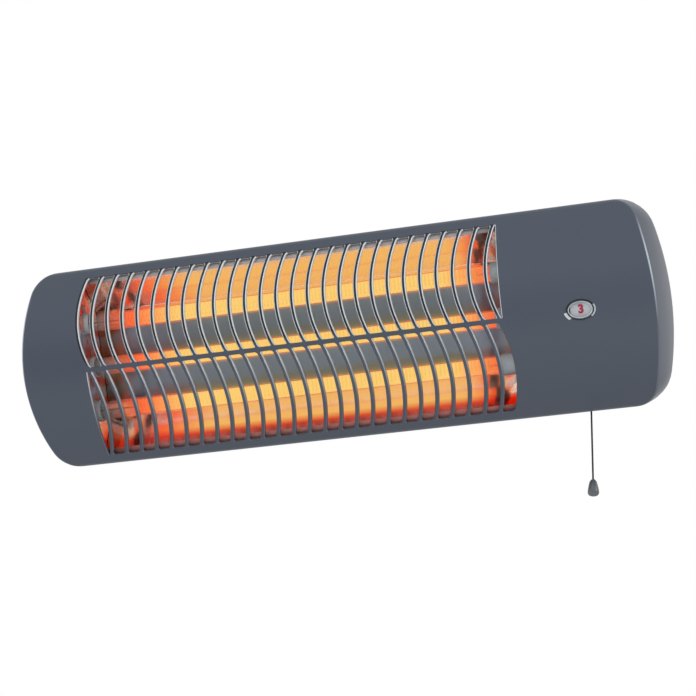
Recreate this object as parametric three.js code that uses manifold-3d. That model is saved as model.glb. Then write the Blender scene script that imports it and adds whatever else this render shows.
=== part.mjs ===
// A wall-hung bathroom bar heater: a long barrel-fronted body with three quartz tubes behind an
// S-barred grille, tilted face down on its wall bracket, with a pull cord and a number window.
// Millimetres, +Z up, the front faces -Y. The origin is the middle of the wall plate's back.
import * as THREE from 'three';
import { mergeVertices } from 'three/addons/utils/BufferGeometryUtils.js';
import Module from 'manifold-3d';

const wasm = await Module();
wasm.setup();

// ---- driving dimensions -------------------------------------------------------------------
const FIT = 0.3; // gap between pieces that touch

// the body, in its own frame: x along it, y = 0 at the rim between the covers, front to -y
const BODY_HEIGHT = 145.6;
const FRONT_DEPTH = 42; // rim to the foremost line of the front
const BARREL_RADIUS = 112; // bow of the front, about an axis along x
const EDGE_RADIUS = 7; // from the bowed front into the flat top and bottom
const CREASE_LENGTH = 465; // end to end along the crease where the front meets the ends
const END_FLARE = 7; // the ends lean out by this much from the crease to the rim
const END_SAG = 12.25; // bow of the ends, seen from the front
const CREASE_CORNER = 18;
const COVER_WALL = 1.6;

// the grille
const GRILLE_WALL = 2.6; // deeper here, where the slot edges are turned in
const SLOT_COUNT = 27;
const GRILLE_FROM_LEFT = 51.3; // crease's left end to the bar before the upper row's first slot
const GRILLE_FROM_RIGHT = 108.5; // crease's right end to the last bar of the upper row
const GRILLE_START = GRILLE_FROM_LEFT - CREASE_LENGTH / 2;
const SLOT_PITCH = (CREASE_LENGTH - GRILLE_FROM_LEFT - GRILLE_FROM_RIGHT) / (SLOT_COUNT - 1);
const BAR_WIDTH = 3.1;
const BAR_DRAFT = 0.7; // a bar is narrower by this much on its outer face
const BAR_BOW = 6.9; // sideways bow of a bar, to the left in the upper row, right in the lower
const LAND_HEIGHT = 4; // the plain strip between the rows
const ROW_TOP = BODY_HEIGHT / 2 - 7.2;
const SLOT_CORNER = 1.3;
const STRAIGHT_END = 3.2; // last bar's centre line to the straight end of its row

// the back cover
const BACK_DEPTH = 32;
const BACK_WALL = 1.8;
const BACK_INSET = 9; // how far its back outline stands inside the rim
const BACK_EDGE = 4;
const LIP_DEPTH = 5; // how far it reaches into the front cover
const VENT_COUNT = 8;
const VENT_PITCH = 40;
const VENT_WIDTH = 28;
const VENT_HEIGHT = 4;
const POST_FROM_END = 19.5; // the screw posts' distance from the crease's ends
const POST_Z = 38;

// the reflector and the tubes
const PAN_FROM_LEFT = 46; // crease's left end to the pan's
const PAN_FROM_RIGHT = 104;
const PAN_START = PAN_FROM_LEFT - CREASE_LENGTH / 2;
const PAN_LENGTH = CREASE_LENGTH - PAN_FROM_LEFT - PAN_FROM_RIGHT;
const PAN_WALL = 0.8;
const PAN_BACK_Y = 3;
const PAN_FRONT_Y = -15;
const PAN_LIP = 3.5;
const PAN_TO_TOP = 7.3; // the lip's edge to the body's flat top
const PAN_FRONT_HALF = BODY_HEIGHT / 2 - PAN_TO_TOP - PAN_LIP;
const PAN_SPLAY = 22; // how far its front stands outside its back
const PAN_BACK_HALF = PAN_FRONT_HALF - PAN_SPLAY;
const PAN_BRACKET_HALF = 30;
const PAN_BRACKET_FOOT = 9;
const PAN_BRACKET_WIDTH = 14;
const TUBE_PITCH = 32.5;
const TUBE_RADIUS = 6.5;
const TUBE_WALL = 1.1;
const TUBE_Y = -17;
const TUBE_PAST_LEFT = 5.5; // how far a tube reaches beyond the pan
const TUBE_PAST_RIGHT = 3.5;
const TUBE_START = PAN_START - TUBE_PAST_LEFT;
const TUBE_LENGTH = PAN_LENGTH + TUBE_PAST_LEFT + TUBE_PAST_RIGHT;
const CAP_RADIUS = 7.9;
const CAP_FLANGE = 9.2;
const CAP_FLANGE_WIDTH = 2.5;
const CAP_END = 3; // closed end of a cap, beyond the tube
const LEFT_CAP_INSIDE = 8.5; // how much of the tube a cap covers
const RIGHT_CAP_INSIDE = 14;
const COIL_TURNS = 14;
const COIL_WIRE = 0.55; // radius
const COLD_LEFT = 34; // tube's end to the first turn
const COLD_RIGHT = 22;
const COIL_START = TUBE_START + COLD_LEFT;
const COIL_LENGTH = TUBE_LENGTH - COLD_LEFT - COLD_RIGHT;
const COIL_TAIL = 6; // straight wire beyond the caps

// the wall bracket and the tilt
const TILT = 40; // degrees, face down from upright
const PIVOT_X = 132; // outer faces of the bracket's ears
const PIVOT_Y = 44; // in the body's frame
const PIVOT_Z = -40;
const PIVOT_TO_WALL = 18;
const PLATE_HEIGHT = 64;
const PLATE_WALL = 2;
const PLATE_BELOW = 14; // from the pivot down to the plate's lower edge
const EAR_RADIUS = 10;
const BOLT_RADIUS = 3;
const BOLT_HEAD = 6.5;
const LUG_FLANGE = 26;
const LUG_BELOW = 8; // from the pivot down to the lug's lower edge
const LUG_ABOVE = 32;
const KEYHOLE_X = 95;
const PLATE_HOLE_X = 42;
const PLATE_HOLE_HALF = [22, 12];

// the pull switch, the number window and the cord
const WINDOW_FROM_RIGHT = 52.2; // from the crease's right end
const WINDOW_X = CREASE_LENGTH / 2 - WINDOW_FROM_RIGHT;
const WINDOW_Z = 0.9;
const WINDOW_HALF_X = 8.9;
const WINDOW_HALF_Z = 6.4;
const BEZEL_WALL = 0.9;
const BEZEL_PROUD = 0.4;
const BEZEL_DEPTH = 3;
const LENS_DEPTH = 2.2;
const DRUM_Y = -24;
const DRUM_RADIUS = 14;
const DRUM_WIDTH = 15;
const SHAFT_RADIUS = 1.6;
const LEVER_REACH = 18; // shaft to cord
const LEVER_REST = 12.7; // degrees above level, at rest
const CORD_FROM_RIGHT = 58;
const CORD_X = CREASE_LENGTH / 2 - CORD_FROM_RIGHT;
const CORD_Y = -6;
const CORD_RADIUS = 0.65;
const CORD_FALL = 60; // the guide's mouth to the cord's end in the knob
const GUIDE_RADIUS = 3.4;
const GUIDE_FLANGE = 4.8;
const GUIDE_COLLAR = 1.3;
const KNOB_RADIUS = 4;
const KNOB_HEIGHT = 12.4;

// ---- materials ----------------------------------------------------------------------------
const paint = (color, roughness, metalness = 0) =>
  new THREE.MeshStandardMaterial({ color, roughness, metalness });
const anthracite = paint(0x4e545f, 0.45, 0.2);
const darkPlastic = paint(0x2e3238, 0.5);
const polished = paint(0xd9dcdf, 0.15, 1);
const zinc = paint(0xa9adb1, 0.35, 1);
const quartz = paint(0xf3b070, 0.08);
const hotWire = paint(0xff7a1e, 0.5, 0.6);
const ceramic = paint(0xc9c6bd, 0.7);
const lensPlastic = paint(0xc3c8cc, 0.1);
const dialPlastic = paint(0xe2e4e4, 0.4);
const greyPlastic = paint(0x5a6168, 0.4);

// ---- solids -------------------------------------------------------------------------------
// a closed geometry as a solid that can be joined and cut
function solid(geometry) {
  const bare = new THREE.BufferGeometry();
  bare.setAttribute('position', geometry.attributes.position);
  bare.setIndex(geometry.index);
  const merged = mergeVertices(bare, 1e-4);
  const at = merged.attributes.position.array;
  let tris = Array.from(merged.index.array);
  const kept = [];
  let volume = 0;
  const a = new THREE.Vector3();
  const b = new THREE.Vector3();
  const c = new THREE.Vector3();
  for (let i = 0; i < tris.length; i += 3) {
    const [p, q, r] = [tris[i], tris[i + 1], tris[i + 2]];
    if (p === q || q === r || r === p) continue;
    kept.push(p, q, r);
    a.fromArray(at, 3 * p);
    b.fromArray(at, 3 * q);
    c.fromArray(at, 3 * r);
    volume += a.dot(b.cross(c));
  }
  tris = kept;
  if (volume < 0) tris.reverse();
  return new wasm.Manifold(new wasm.Mesh({
    numProp: 3,
    vertProperties: new Float32Array(at),
    triVerts: new Uint32Array(tris),
  }));
}

// a solid back as a geometry with flat faces
function faceted(body) {
  const mesh = body.getMesh();
  const geometry = new THREE.BufferGeometry();
  geometry.setAttribute('position', new THREE.BufferAttribute(new Float32Array(mesh.vertProperties), 3));
  geometry.setIndex(new THREE.BufferAttribute(new Uint32Array(mesh.triVerts), 1));
  return geometry;
}

function shapeOf(points) {
  return new THREE.Shape(points.map(([x, y]) => new THREE.Vector2(x, y)));
}

function roundedRect(x0, x1, y0, y1, radius) {
  const shape = new THREE.Shape();
  shape.moveTo(x0 + radius, y0);
  shape.lineTo(x1 - radius, y0);
  shape.absarc(x1 - radius, y0 + radius, radius, -Math.PI / 2, 0);
  shape.lineTo(x1, y1 - radius);
  shape.absarc(x1 - radius, y1 - radius, radius, 0, Math.PI / 2);
  shape.lineTo(x0 + radius, y1);
  shape.absarc(x0 + radius, y1 - radius, radius, Math.PI / 2, Math.PI);
  shape.lineTo(x0, y0 + radius);
  shape.absarc(x0 + radius, y0 + radius, radius, Math.PI, 1.5 * Math.PI);
  return shape;
}

function ellipse(x, y, rx, ry) {
  return new THREE.Shape().absellipse(x, y, rx, ry, 0, 2 * Math.PI, false);
}

// a (y, z) profile run along x, from x0 to x1
function alongX(shape, x0, x1, segments = 3) {
  const geometry = new THREE.ExtrudeGeometry(shape, {
    depth: x1 - x0, bevelEnabled: false, curveSegments: segments,
  });
  geometry.translate(0, 0, x0);
  geometry.applyMatrix4(new THREE.Matrix4().makeBasis(
    new THREE.Vector3(0, 1, 0), new THREE.Vector3(0, 0, 1), new THREE.Vector3(1, 0, 0)));
  return geometry;
}

// an (x, z) profile run along y, from y1 forward to y0
function alongY(shape, y0, y1, segments = 3) {
  const geometry = new THREE.ExtrudeGeometry(shape, {
    depth: y1 - y0, bevelEnabled: false, curveSegments: segments,
  });
  geometry.applyMatrix4(new THREE.Matrix4().makeBasis(
    new THREE.Vector3(1, 0, 0), new THREE.Vector3(0, 0, 1), new THREE.Vector3(0, -1, 0)));
  geometry.translate(0, y1, 0);
  return geometry;
}

function block(x0, x1, y0, y1, z0, z1) {
  const geometry = new THREE.BoxGeometry(x1 - x0, y1 - y0, z1 - z0);
  geometry.translate((x0 + x1) / 2, (y0 + y1) / 2, (z0 + z1) / 2);
  return geometry;
}

// a revolved profile of (radius, height) points, its axis laid along x, y or z
function turned(profile, axis, sides = 16) {
  const geometry = new THREE.LatheGeometry(profile.map(([r, h]) => new THREE.Vector2(r, h)), sides);
  if (axis === 'x') geometry.rotateZ(-Math.PI / 2);
  if (axis === 'z') geometry.rotateX(Math.PI / 2);
  return faceted(solid(geometry));
}

// a plain round bar from a to b along an axis, through the point (u, v) of the other two
function rod(axis, a, b, u, v, radius, sides = 12) {
  const geometry = turned([[0, a], [radius, a], [radius, b], [0, b]], axis, sides);
  if (axis === 'x') geometry.translate(0, u, v);
  if (axis === 'y') geometry.translate(u, 0, v);
  if (axis === 'z') geometry.translate(u, v, 0);
  return geometry;
}

// a skin through rings of equal count, closed by the strips that pair their points
function loft(rings) {
  const count = rings[0].length;
  const positions = rings.flat(2);
  const index = [];
  for (let r = 0; r + 1 < rings.length; r += 1) {
    for (let i = 0; i < count; i += 1) {
      const a = r * count + i;
      const b = r * count + (i + 1) % count;
      index.push(a, b, b + count, a, b + count, a + count);
    }
  }
  const last = (rings.length - 1) * count;
  for (let i = 0; i + 1 < count / 2; i += 1) {
    const j = count - 1 - i;
    if (j - 1 > i + 1) index.push(i, j, j - 1, i, j - 1, i + 1);
    else index.push(i, j, i + 1);
    const [p, q] = [last + i, last + j];
    if (j - 1 > i + 1) index.push(p, q - 1, q, p, p + 1, q - 1);
    else index.push(p, p + 1, q);
  }
  const geometry = new THREE.BufferGeometry();
  geometry.setAttribute('position', new THREE.Float32BufferAttribute(positions, 3));
  geometry.setIndex(index);
  return faceted(solid(geometry));
}

// a tube of a few sides along a run of points, its ends square and flat
function sweep(points, radius, sides) {
  const rings = [];
  let normal = null;
  points.forEach((point, i) => {
    const before = points[Math.max(i - 1, 0)];
    const after = points[Math.min(i + 1, points.length - 1)];
    const tangent = after.clone().sub(before).normalize();
    if (normal === null) {
      normal = Math.abs(tangent.z) > 0.9 ? new THREE.Vector3(1, 0, 0) : new THREE.Vector3(0, 0, 1);
    }
    normal = normal.clone().addScaledVector(tangent, -normal.dot(tangent)).normalize();
    const side = tangent.clone().cross(normal);
    const ring = [];
    for (let k = 0; k < sides; k += 1) {
      const angle = 2 * Math.PI * k / sides;
      ring.push(point.clone()
        .addScaledVector(normal, radius * Math.cos(angle))
        .addScaledVector(side, radius * Math.sin(angle))
        .toArray());
    }
    rings.push(ring);
  });
  return loft(rings);
}

// the least gap of a wound tube to itself, measured between its centre-line points
function selfGap(points, radius, apart) {
  let least = Infinity;
  for (let i = 0; i < points.length; i += 1) {
    for (let j = i + apart; j < Math.min(points.length, i + 6 * apart); j += 1) {
      least = Math.min(least, points[i].distanceTo(points[j]));
    }
  }
  return least - 2 * radius;
}

function piece(name, geometry, material) {
  const mesh = new THREE.Mesh(geometry, material);
  mesh.name = name;
  return mesh;
}

const lerp = (a, b, t) => a + (b - a) * t;

// ---- the body's outer form ----------------------------------------------------------------
const HALF_HEIGHT = BODY_HEIGHT / 2;
const BARREL_Y = BARREL_RADIUS - FRONT_DEPTH; // the bow's axis
const EDGE_Z = HALF_HEIGHT - EDGE_RADIUS;
const EDGE_Y = BARREL_Y - Math.sqrt((BARREL_RADIUS - EDGE_RADIUS) ** 2 - EDGE_Z ** 2);
const EDGE_START = EDGE_Z * BARREL_RADIUS / (BARREL_RADIUS - EDGE_RADIUS);

// y of the front's outer face at height z, or of a face that lies inset behind it
function frontY(z, inset = 0) {
  const high = Math.abs(z);
  const scale = (BARREL_RADIUS - inset) / BARREL_RADIUS;
  if (high <= EDGE_START * scale) {
    return BARREL_Y - Math.sqrt((BARREL_RADIUS - inset) ** 2 - high ** 2);
  }
  const radius = EDGE_RADIUS - inset;
  return EDGE_Y - Math.sqrt(Math.max(radius ** 2 - (high - EDGE_Z) ** 2, 0));
}

// heights of the front's facets, which the slots share
function rowLevels() {
  const steps = 6;
  const levels = [];
  for (let i = 0; i <= steps; i += 1) levels.push(lerp(LAND_HEIGHT / 2, ROW_TOP, i / steps));
  return levels;
}

// the D-shaped (y, z) section, inset by a wall
function section(inset, backY) {
  const up = rowLevels().map((z) => [frontY(z, inset), z]);
  const start = Math.atan2(EDGE_Z, BARREL_Y - EDGE_Y);
  for (let i = 0; i <= 3; i += 1) {
    const angle = lerp(start, Math.PI / 2, i / 3);
    const radius = EDGE_RADIUS - inset;
    up.push([EDGE_Y - radius * Math.cos(angle), EDGE_Z + radius * Math.sin(angle)]);
  }
  up.push([backY, HALF_HEIGHT - inset]);
  const down = up.map(([y, z]) => [y, -z]).reverse();
  return shapeOf([...down, ...up]);
}

// half an outline seen from the front, (x, z) from the lowest point of the end to the highest
function endOutline(halfLength, corner) {
  const sweepRadius = (HALF_HEIGHT ** 2 + END_SAG ** 2) / (2 * END_SAG);
  const centreX = halfLength - sweepRadius;
  const cornerZ = HALF_HEIGHT - corner;
  const cornerX = centreX + Math.sqrt((sweepRadius - corner) ** 2 - cornerZ ** 2);
  const turn = Math.atan2(cornerZ, cornerX - centreX);
  const up = [];
  for (let i = 0; i <= 4; i += 1) {
    const angle = turn * i / 4;
    up.push([centreX + sweepRadius * Math.cos(angle), sweepRadius * Math.sin(angle)]);
  }
  for (let i = 1; i <= 6; i += 1) {
    const angle = lerp(turn, Math.PI / 2, i / 6);
    up.push([cornerX + corner * Math.cos(angle), cornerZ + corner * Math.sin(angle)]);
  }
  const down = up.slice(1).map(([x, z]) => [x, -z]).reverse();
  return [...down, ...up];
}

// the whole outline as a ring: up the right end, then down the left one
function ringOf(half, yOf, wall) {
  const right = half.map(([x, z]) => [x - wall, yOf(z), z]);
  const left = right.map(([x, y, z]) => [-x, y, z]).reverse();
  return [...right, ...left];
}

// corner radius of the rim that starts its turn where the crease's corner does
function rimCorner() {
  const sweepRadius = (HALF_HEIGHT ** 2 + END_SAG ** 2) / (2 * END_SAG);
  const cornerZ = HALF_HEIGHT - CREASE_CORNER;
  const reach = Math.sqrt((sweepRadius - CREASE_CORNER) ** 2 - cornerZ ** 2) - END_FLARE;
  return (sweepRadius ** 2 - HALF_HEIGHT ** 2 - reach ** 2) / (2 * (sweepRadius - HALF_HEIGHT));
}

const CREASE = endOutline(CREASE_LENGTH / 2, CREASE_CORNER);
const RIM = endOutline(CREASE_LENGTH / 2 + END_FLARE, rimCorner());
const TALLER = 0.2; // the end walls' skin stands past the flat top, which trims it

// the end wall's outline at a share of the way from the crease to the rim, leaning out
function endLine(shareAt) {
  return CREASE.map(([x, z], i) => {
    const v = shareAt(z);
    const lean = v < 0 ? 1.7 * v : v + 0.7 * v * (1 - v);
    return [lerp(x, RIM[i][0], lean), lerp(z, RIM[i][1], lean)];
  });
}

// the end walls' skin, from in front of the crease to the rim or some way behind it
function endWalls(wall, behind) {
  const stretch = (HALF_HEIGHT + TALLER) / HALF_HEIGHT;
  const rings = [-0.12, 0, 0.3, 0.65, 1].map((v) => {
    const half = endLine(() => v).map(([x, z]) => [x, z * stretch]);
    return ringOf(half, (z) => frontY(z / stretch) * (1 - v), wall);
  });
  const rim = rings[rings.length - 1];
  if (behind > 0) rings.push(rim.map(([x, , z]) => [x, behind, z]));
  return solid(loft(rings));
}

// ---- the grille ---------------------------------------------------------------------------
// sideways place of a bar's centre line at height z, from its own upright line
function barBow(z) {
  const middle = (ROW_TOP + LAND_HEIGHT / 2) / 2;
  const half = (ROW_TOP - LAND_HEIGHT / 2) / 2;
  return BAR_BOW * (1 - ((Math.abs(z) - middle) / half) ** 2) * (z > 0 ? -1 : 1);
}

// one slot between two side lines, wider on the outer face, its corners rounded
function slotCutter(leftOf, rightOf, row) {
  const main = rowLevels();
  const first = main[0];
  const last = main[main.length - 1];
  const levels = [
    [first, SLOT_CORNER], [first + SLOT_CORNER, 0],
    ...main.slice(1, -1).map((z) => [z, 0]),
    [last - SLOT_CORNER, 0], [last, SLOT_CORNER],
  ];
  const ring = (widen, depth) => {
    const left = [];
    const right = [];
    for (const [high, inset] of levels) {
      const z = high * row;
      const width = rightOf(z) - leftOf(z);
      const cut = Math.min(inset, 0.3 * width) - widen;
      left.push([leftOf(z) + cut, frontY(z) + depth, z]);
      right.push([rightOf(z) - cut, frontY(z) + depth, z]);
    }
    return [...left, ...right.reverse()];
  };
  const through = 1.6 * GRILLE_WALL;
  const proud = 0.4 * GRILLE_WALL;
  return solid(loft([ring(0.7 * BAR_DRAFT, -proud), ring(-0.3 * BAR_DRAFT, through)]));
}

// both rows: the lower is the upper turned half round about the grille's middle
function slots() {
  const middle = GRILLE_START + (SLOT_COUNT - 1) * SLOT_PITCH / 2;
  const centre = (k) => GRILLE_START + k * SLOT_PITCH;
  const straight = centre(SLOT_COUNT - 1) + STRAIGHT_END;
  const cutters = [];
  for (let k = 0; k < SLOT_COUNT; k += 1) {
    const leftOf = (z) => centre(k) + barBow(z) + BAR_WIDTH / 2;
    const rightOf = k === SLOT_COUNT - 1
      ? () => straight
      : (z) => centre(k + 1) + barBow(z) - BAR_WIDTH / 2;
    cutters.push(slotCutter(leftOf, rightOf, 1));
    cutters.push(slotCutter((z) => 2 * middle - rightOf(-z), (z) => 2 * middle - leftOf(-z), -1));
  }
  return wasm.Manifold.union(cutters);
}

// ---- the covers ---------------------------------------------------------------------------
const POST_X = CREASE_LENGTH / 2 - POST_FROM_END;
const POSTS = [[-POST_X, -POST_Z], [-POST_X, POST_Z], [POST_X, -POST_Z], [POST_X, POST_Z]];
const POST_RADIUS = 4;
const SCREW_RADIUS = 1.5;
const SCREW_HEAD = 3.6;
const SCREW_LENGTH = 12;
const FUNNEL_FLOOR = 2;
const FUNNEL_Y = 5.5; // front of a screw funnel's floor

function frontCover() {
  const reach = CREASE_LENGTH / 2 + 2 * END_FLARE;
  const outer = solid(alongX(section(0, FRONT_DEPTH), -reach, reach)).intersect(endWalls(0, 0));
  const inner = solid(alongX(section(COVER_WALL, FRONT_DEPTH), -reach, reach))
    .intersect(endWalls(COVER_WALL, 6));
  const deep = solid(alongX(section(GRILLE_WALL, FRONT_DEPTH), -reach, reach));
  const end = GRILLE_START + (SLOT_COUNT - 1) * SLOT_PITCH + STRAIGHT_END;
  const zone = solid(block(GRILLE_START - BAR_BOW - 4, end + 4, -FRONT_DEPTH, 0, -EDGE_Z, EDGE_Z))
    .subtract(deep);
  const post = ([x, z]) => solid(rod('y', frontY(z) + 0.8, FUNNEL_Y - FIT, x, z, POST_RADIUS));
  const pilot = ([x, z]) => solid(rod('y', -12, FUNNEL_Y, x, z, SCREW_RADIUS + FIT, 8));
  const dish = solid(alongY(
    ellipse(WINDOW_X, WINDOW_Z, WINDOW_HALF_X + BEZEL_WALL + 2, WINDOW_HALF_Z + BEZEL_WALL + 2),
    -FRONT_DEPTH - 1, -FRONT_DEPTH + 0.5, 12));
  const opening = solid(alongY(
    ellipse(WINDOW_X, WINDOW_Z, WINDOW_HALF_X + BEZEL_WALL + FIT, WINDOW_HALF_Z + BEZEL_WALL + FIT),
    -FRONT_DEPTH - 1, -FRONT_DEPTH + 6, 12));
  const guideHole = solid(
    rod('z', -HALF_HEIGHT - 1, -HALF_HEIGHT + 3, CORD_X, CORD_Y, GUIDE_RADIUS + FIT, 16));
  const shell = outer.subtract(inner.subtract(zone)).subtract(slots());
  const posted = wasm.Manifold.union([shell, ...POSTS.map(post)]);
  return faceted(wasm.Manifold.difference([posted, dish, opening, guideHole, ...POSTS.map(pilot)]));
}

// a ring of the back cover: an outline of the end walls, moved in by an inset and a wall
function backRing(line, inset, y, wall) {
  const shrinkZ = (HALF_HEIGHT - inset - wall) / HALF_HEIGHT;
  const half = line.map(([x, z]) => [x - inset, z * shrinkZ]);
  return ringOf(half, () => y, wall);
}

function backCover() {
  const seat = COVER_WALL + FIT;
  const lip = endLine((z) => 1 - LIP_DEPTH / -frontY(z));
  const outer = solid(loft([
    backRing(lip, seat, -LIP_DEPTH, 0),
    backRing(RIM, seat, FIT, 0),
    backRing(RIM, BACK_INSET, BACK_DEPTH - BACK_EDGE, 0),
    backRing(RIM, BACK_INSET + BACK_EDGE, BACK_DEPTH, 0),
  ]));
  const inner = solid(loft([
    backRing(lip, seat, -LIP_DEPTH - 1, BACK_WALL),
    backRing(RIM, seat, FIT, BACK_WALL),
    backRing(RIM, BACK_INSET, BACK_DEPTH - BACK_EDGE, BACK_WALL),
    backRing(RIM, BACK_INSET + BACK_EDGE, BACK_DEPTH - BACK_WALL, BACK_WALL),
  ]));
  const funnels = POSTS.map(([x, z]) =>
    solid(rod('y', FUNNEL_Y, BACK_DEPTH - 0.4, x, z, SCREW_HEAD + FIT + BACK_WALL, 12)));
  const bores = POSTS.flatMap(([x, z]) => [
    solid(rod('y', FUNNEL_Y + FUNNEL_FLOOR, BACK_DEPTH + 1, x, z, SCREW_HEAD + FIT, 12)),
    solid(rod('y', FUNNEL_Y - 1, FUNNEL_Y + 3, x, z, SCREW_RADIUS + FIT, 8)),
  ]);
  const stands = FRAME_POSTS.map(([x, z]) =>
    solid(rod('y', FRAME_BACK + FIT, BACK_DEPTH - 0.4, x, z, 3.5, 10)));
  const vents = [];
  for (let i = 0; i < VENT_COUNT; i += 1) {
    const x = (i - (VENT_COUNT - 1) / 2) * VENT_PITCH;
    for (const side of [-1, 1]) {
      vents.push(solid(block(
        x - VENT_WIDTH / 2, x + VENT_WIDTH / 2,
        BACK_DEPTH / 2 - VENT_HEIGHT, BACK_DEPTH / 2 + VENT_HEIGHT,
        side > 0 ? HALF_HEIGHT - 15 : -HALF_HEIGHT - 5, side > 0 ? HALF_HEIGHT + 5 : -HALF_HEIGHT + 15)));
    }
  }
  const inlet = solid(rod('y', BACK_DEPTH - 4, BACK_DEPTH + 2, GLAND_X, GLAND_Z, GLAND_BODY + FIT, 16));
  const notch = solid(block(
    CORD_X - GUIDE_FLANGE - 1, CORD_X + GUIDE_FLANGE + 1, -LIP_DEPTH - 1, FIT,
    -HALF_HEIGHT - 1, -HALF_HEIGHT + 5));
  const hollow = outer.subtract(inner);
  const joined = wasm.Manifold.union([hollow, ...funnels, ...stands]);
  return faceted(wasm.Manifold.difference([joined, ...bores, ...vents, inlet, notch]));
}

function coverScrew([x, z]) {
  const head = FUNNEL_Y + FUNNEL_FLOOR + FIT;
  const geometry = turned([
    [0, head - SCREW_LENGTH], [SCREW_RADIUS, head - SCREW_LENGTH], [SCREW_RADIUS, head],
    [SCREW_HEAD, head], [SCREW_HEAD, head + 1.2], [SCREW_HEAD - 1, head + 2.2], [0, head + 2.2],
  ], 'y', 8);
  geometry.translate(x, 0, z);
  return geometry;
}

// ---- the reflector and the tubes ----------------------------------------------------------
// the pan's (y, z) line from its lower lip round to its upper one, moved out by a wall
function panLine(out) {
  const slope = Math.atan2(PAN_BACK_Y - PAN_FRONT_Y, PAN_FRONT_HALF - PAN_BACK_HALF);
  const shift = out * Math.tan(slope / 2);
  const half = [
    [PAN_FRONT_Y + (out > 0 ? out : 0), PAN_FRONT_HALF + PAN_LIP],
    [PAN_FRONT_Y + out, PAN_FRONT_HALF + shift * (out > 0 ? 1 : 0)],
    [PAN_BACK_Y + out, PAN_BACK_HALF + shift],
  ];
  return [...half, ...half.map(([y, z]) => [y, -z]).reverse()];
}

function reflectorPan() {
  const profile = shapeOf([...panLine(0), ...panLine(PAN_WALL).reverse()]);
  return alongX(profile, PAN_START, PAN_START + PAN_LENGTH);
}

const TUBE_ROWS = [TUBE_PITCH, 0, -TUBE_PITCH];

// an end plate: the pan's section at the back, and bowed like the front cover's inside
function reflectorEnd(x0) {
  const bowed = rowLevels().slice(0, -1).map((z) => [frontY(z, GRILLE_WALL) + 4 * FIT, z]);
  const front = [...bowed.map(([y, z]) => [y, -z]).reverse(), ...bowed];
  const lip = PAN_FRONT_HALF + PAN_LIP;
  const outline = [...front, [PAN_FRONT_Y, lip], ...panLine(PAN_WALL), [PAN_FRONT_Y, -lip]];
  const plate = solid(alongX(shapeOf(outline), x0, x0 + PAN_WALL));
  const holes = TUBE_ROWS.map((z) =>
    solid(rod('x', x0 - 1, x0 + PAN_WALL + 1, TUBE_Y, z, CAP_RADIUS + FIT, 12)));
  return faceted(wasm.Manifold.difference([plate, ...holes]));
}

function quartzTube(z) {
  const inner = TUBE_RADIUS - TUBE_WALL;
  const geometry = turned([
    [inner, TUBE_START], [TUBE_RADIUS, TUBE_START],
    [TUBE_RADIUS, TUBE_START + TUBE_LENGTH], [inner, TUBE_START + TUBE_LENGTH],
    [inner, TUBE_START],
  ], 'x', 20);
  geometry.translate(0, TUBE_Y, z);
  return geometry;
}

// a ceramic cup over the tube's end, its flange against the outside of the reflector's end
function tubeCap(z, side) {
  const tubeEnd = side < 0 ? TUBE_START : TUBE_START + TUBE_LENGTH;
  const covers = side < 0 ? LEFT_CAP_INSIDE : RIGHT_CAP_INSIDE;
  const plate = side < 0 ? PAN_START - FIT - PAN_WALL : PAN_START + PAN_LENGTH + FIT + PAN_WALL;
  const h = (x) => (x - tubeEnd) * side;
  const bore = TUBE_RADIUS + FIT;
  const flange = h(plate) + FIT;
  const geometry = turned([
    [COIL_WIRE + FIT, FIT], [bore, FIT], [bore, -covers], [CAP_RADIUS, -covers],
    [CAP_RADIUS, flange], [CAP_FLANGE, flange], [CAP_FLANGE, flange + CAP_FLANGE_WIDTH],
    [CAP_RADIUS - 1, flange + CAP_FLANGE_WIDTH], [CAP_RADIUS - 1, CAP_END + FIT],
    [COIL_WIRE + FIT, CAP_END + FIT], [COIL_WIRE + FIT, FIT],
  ], 'x', 12);
  if (side < 0) geometry.rotateY(Math.PI);
  geometry.translate(tubeEnd, TUBE_Y, z);
  return geometry;
}

// the coil's centre line: a straight tail, turns that open out from the axis, and a tail
function coilLine(z) {
  const winding = TUBE_RADIUS - TUBE_WALL - FIT - COIL_WIRE;
  const reach = CAP_END + FIT + COIL_TAIL;
  const points = [];
  const at = (x, radius, angle) => new THREE.Vector3(
    x, TUBE_Y + radius * Math.cos(angle), z + radius * Math.sin(angle));
  points.push(at(TUBE_START - reach, 0, 0));
  points.push(at(COIL_START - 12, 0, 0));
  const steps = COIL_TURNS * 8;
  for (let i = 0; i <= steps; i += 1) {
    const opening = Math.min(1, i / 8, (steps - i) / 8);
    const x = COIL_START + COIL_LENGTH * i / steps;
    points.push(at(x, winding * opening, 2 * Math.PI * i / 8));
  }
  points.push(at(COIL_START + COIL_LENGTH + 12, 0, 0));
  points.push(at(TUBE_START + TUBE_LENGTH + reach, 0, 0));
  return points;
}

function heatingCoil(z) {
  const points = coilLine(z);
  if (z === 0) {
    console.log('heating coil: least gap to itself', selfGap(points, COIL_WIRE, 5).toFixed(2), 'mm');
  }
  return sweep(points, COIL_WIRE, 5);
}

// the strip that joins the three coils' left tails
function busStrip() {
  const x = TUBE_START - CAP_END - 2 * FIT - 0.8;
  const strip = solid(block(x, x + 0.8, TUBE_Y - 4, TUBE_Y + 4, -TUBE_PITCH - 5, TUBE_PITCH + 5));
  const holes = TUBE_ROWS.map((z) => solid(rod('x', x - 1, x + 2, TUBE_Y, z, COIL_WIRE + FIT, 8)));
  return faceted(wasm.Manifold.difference([strip, ...holes]));
}

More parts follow.
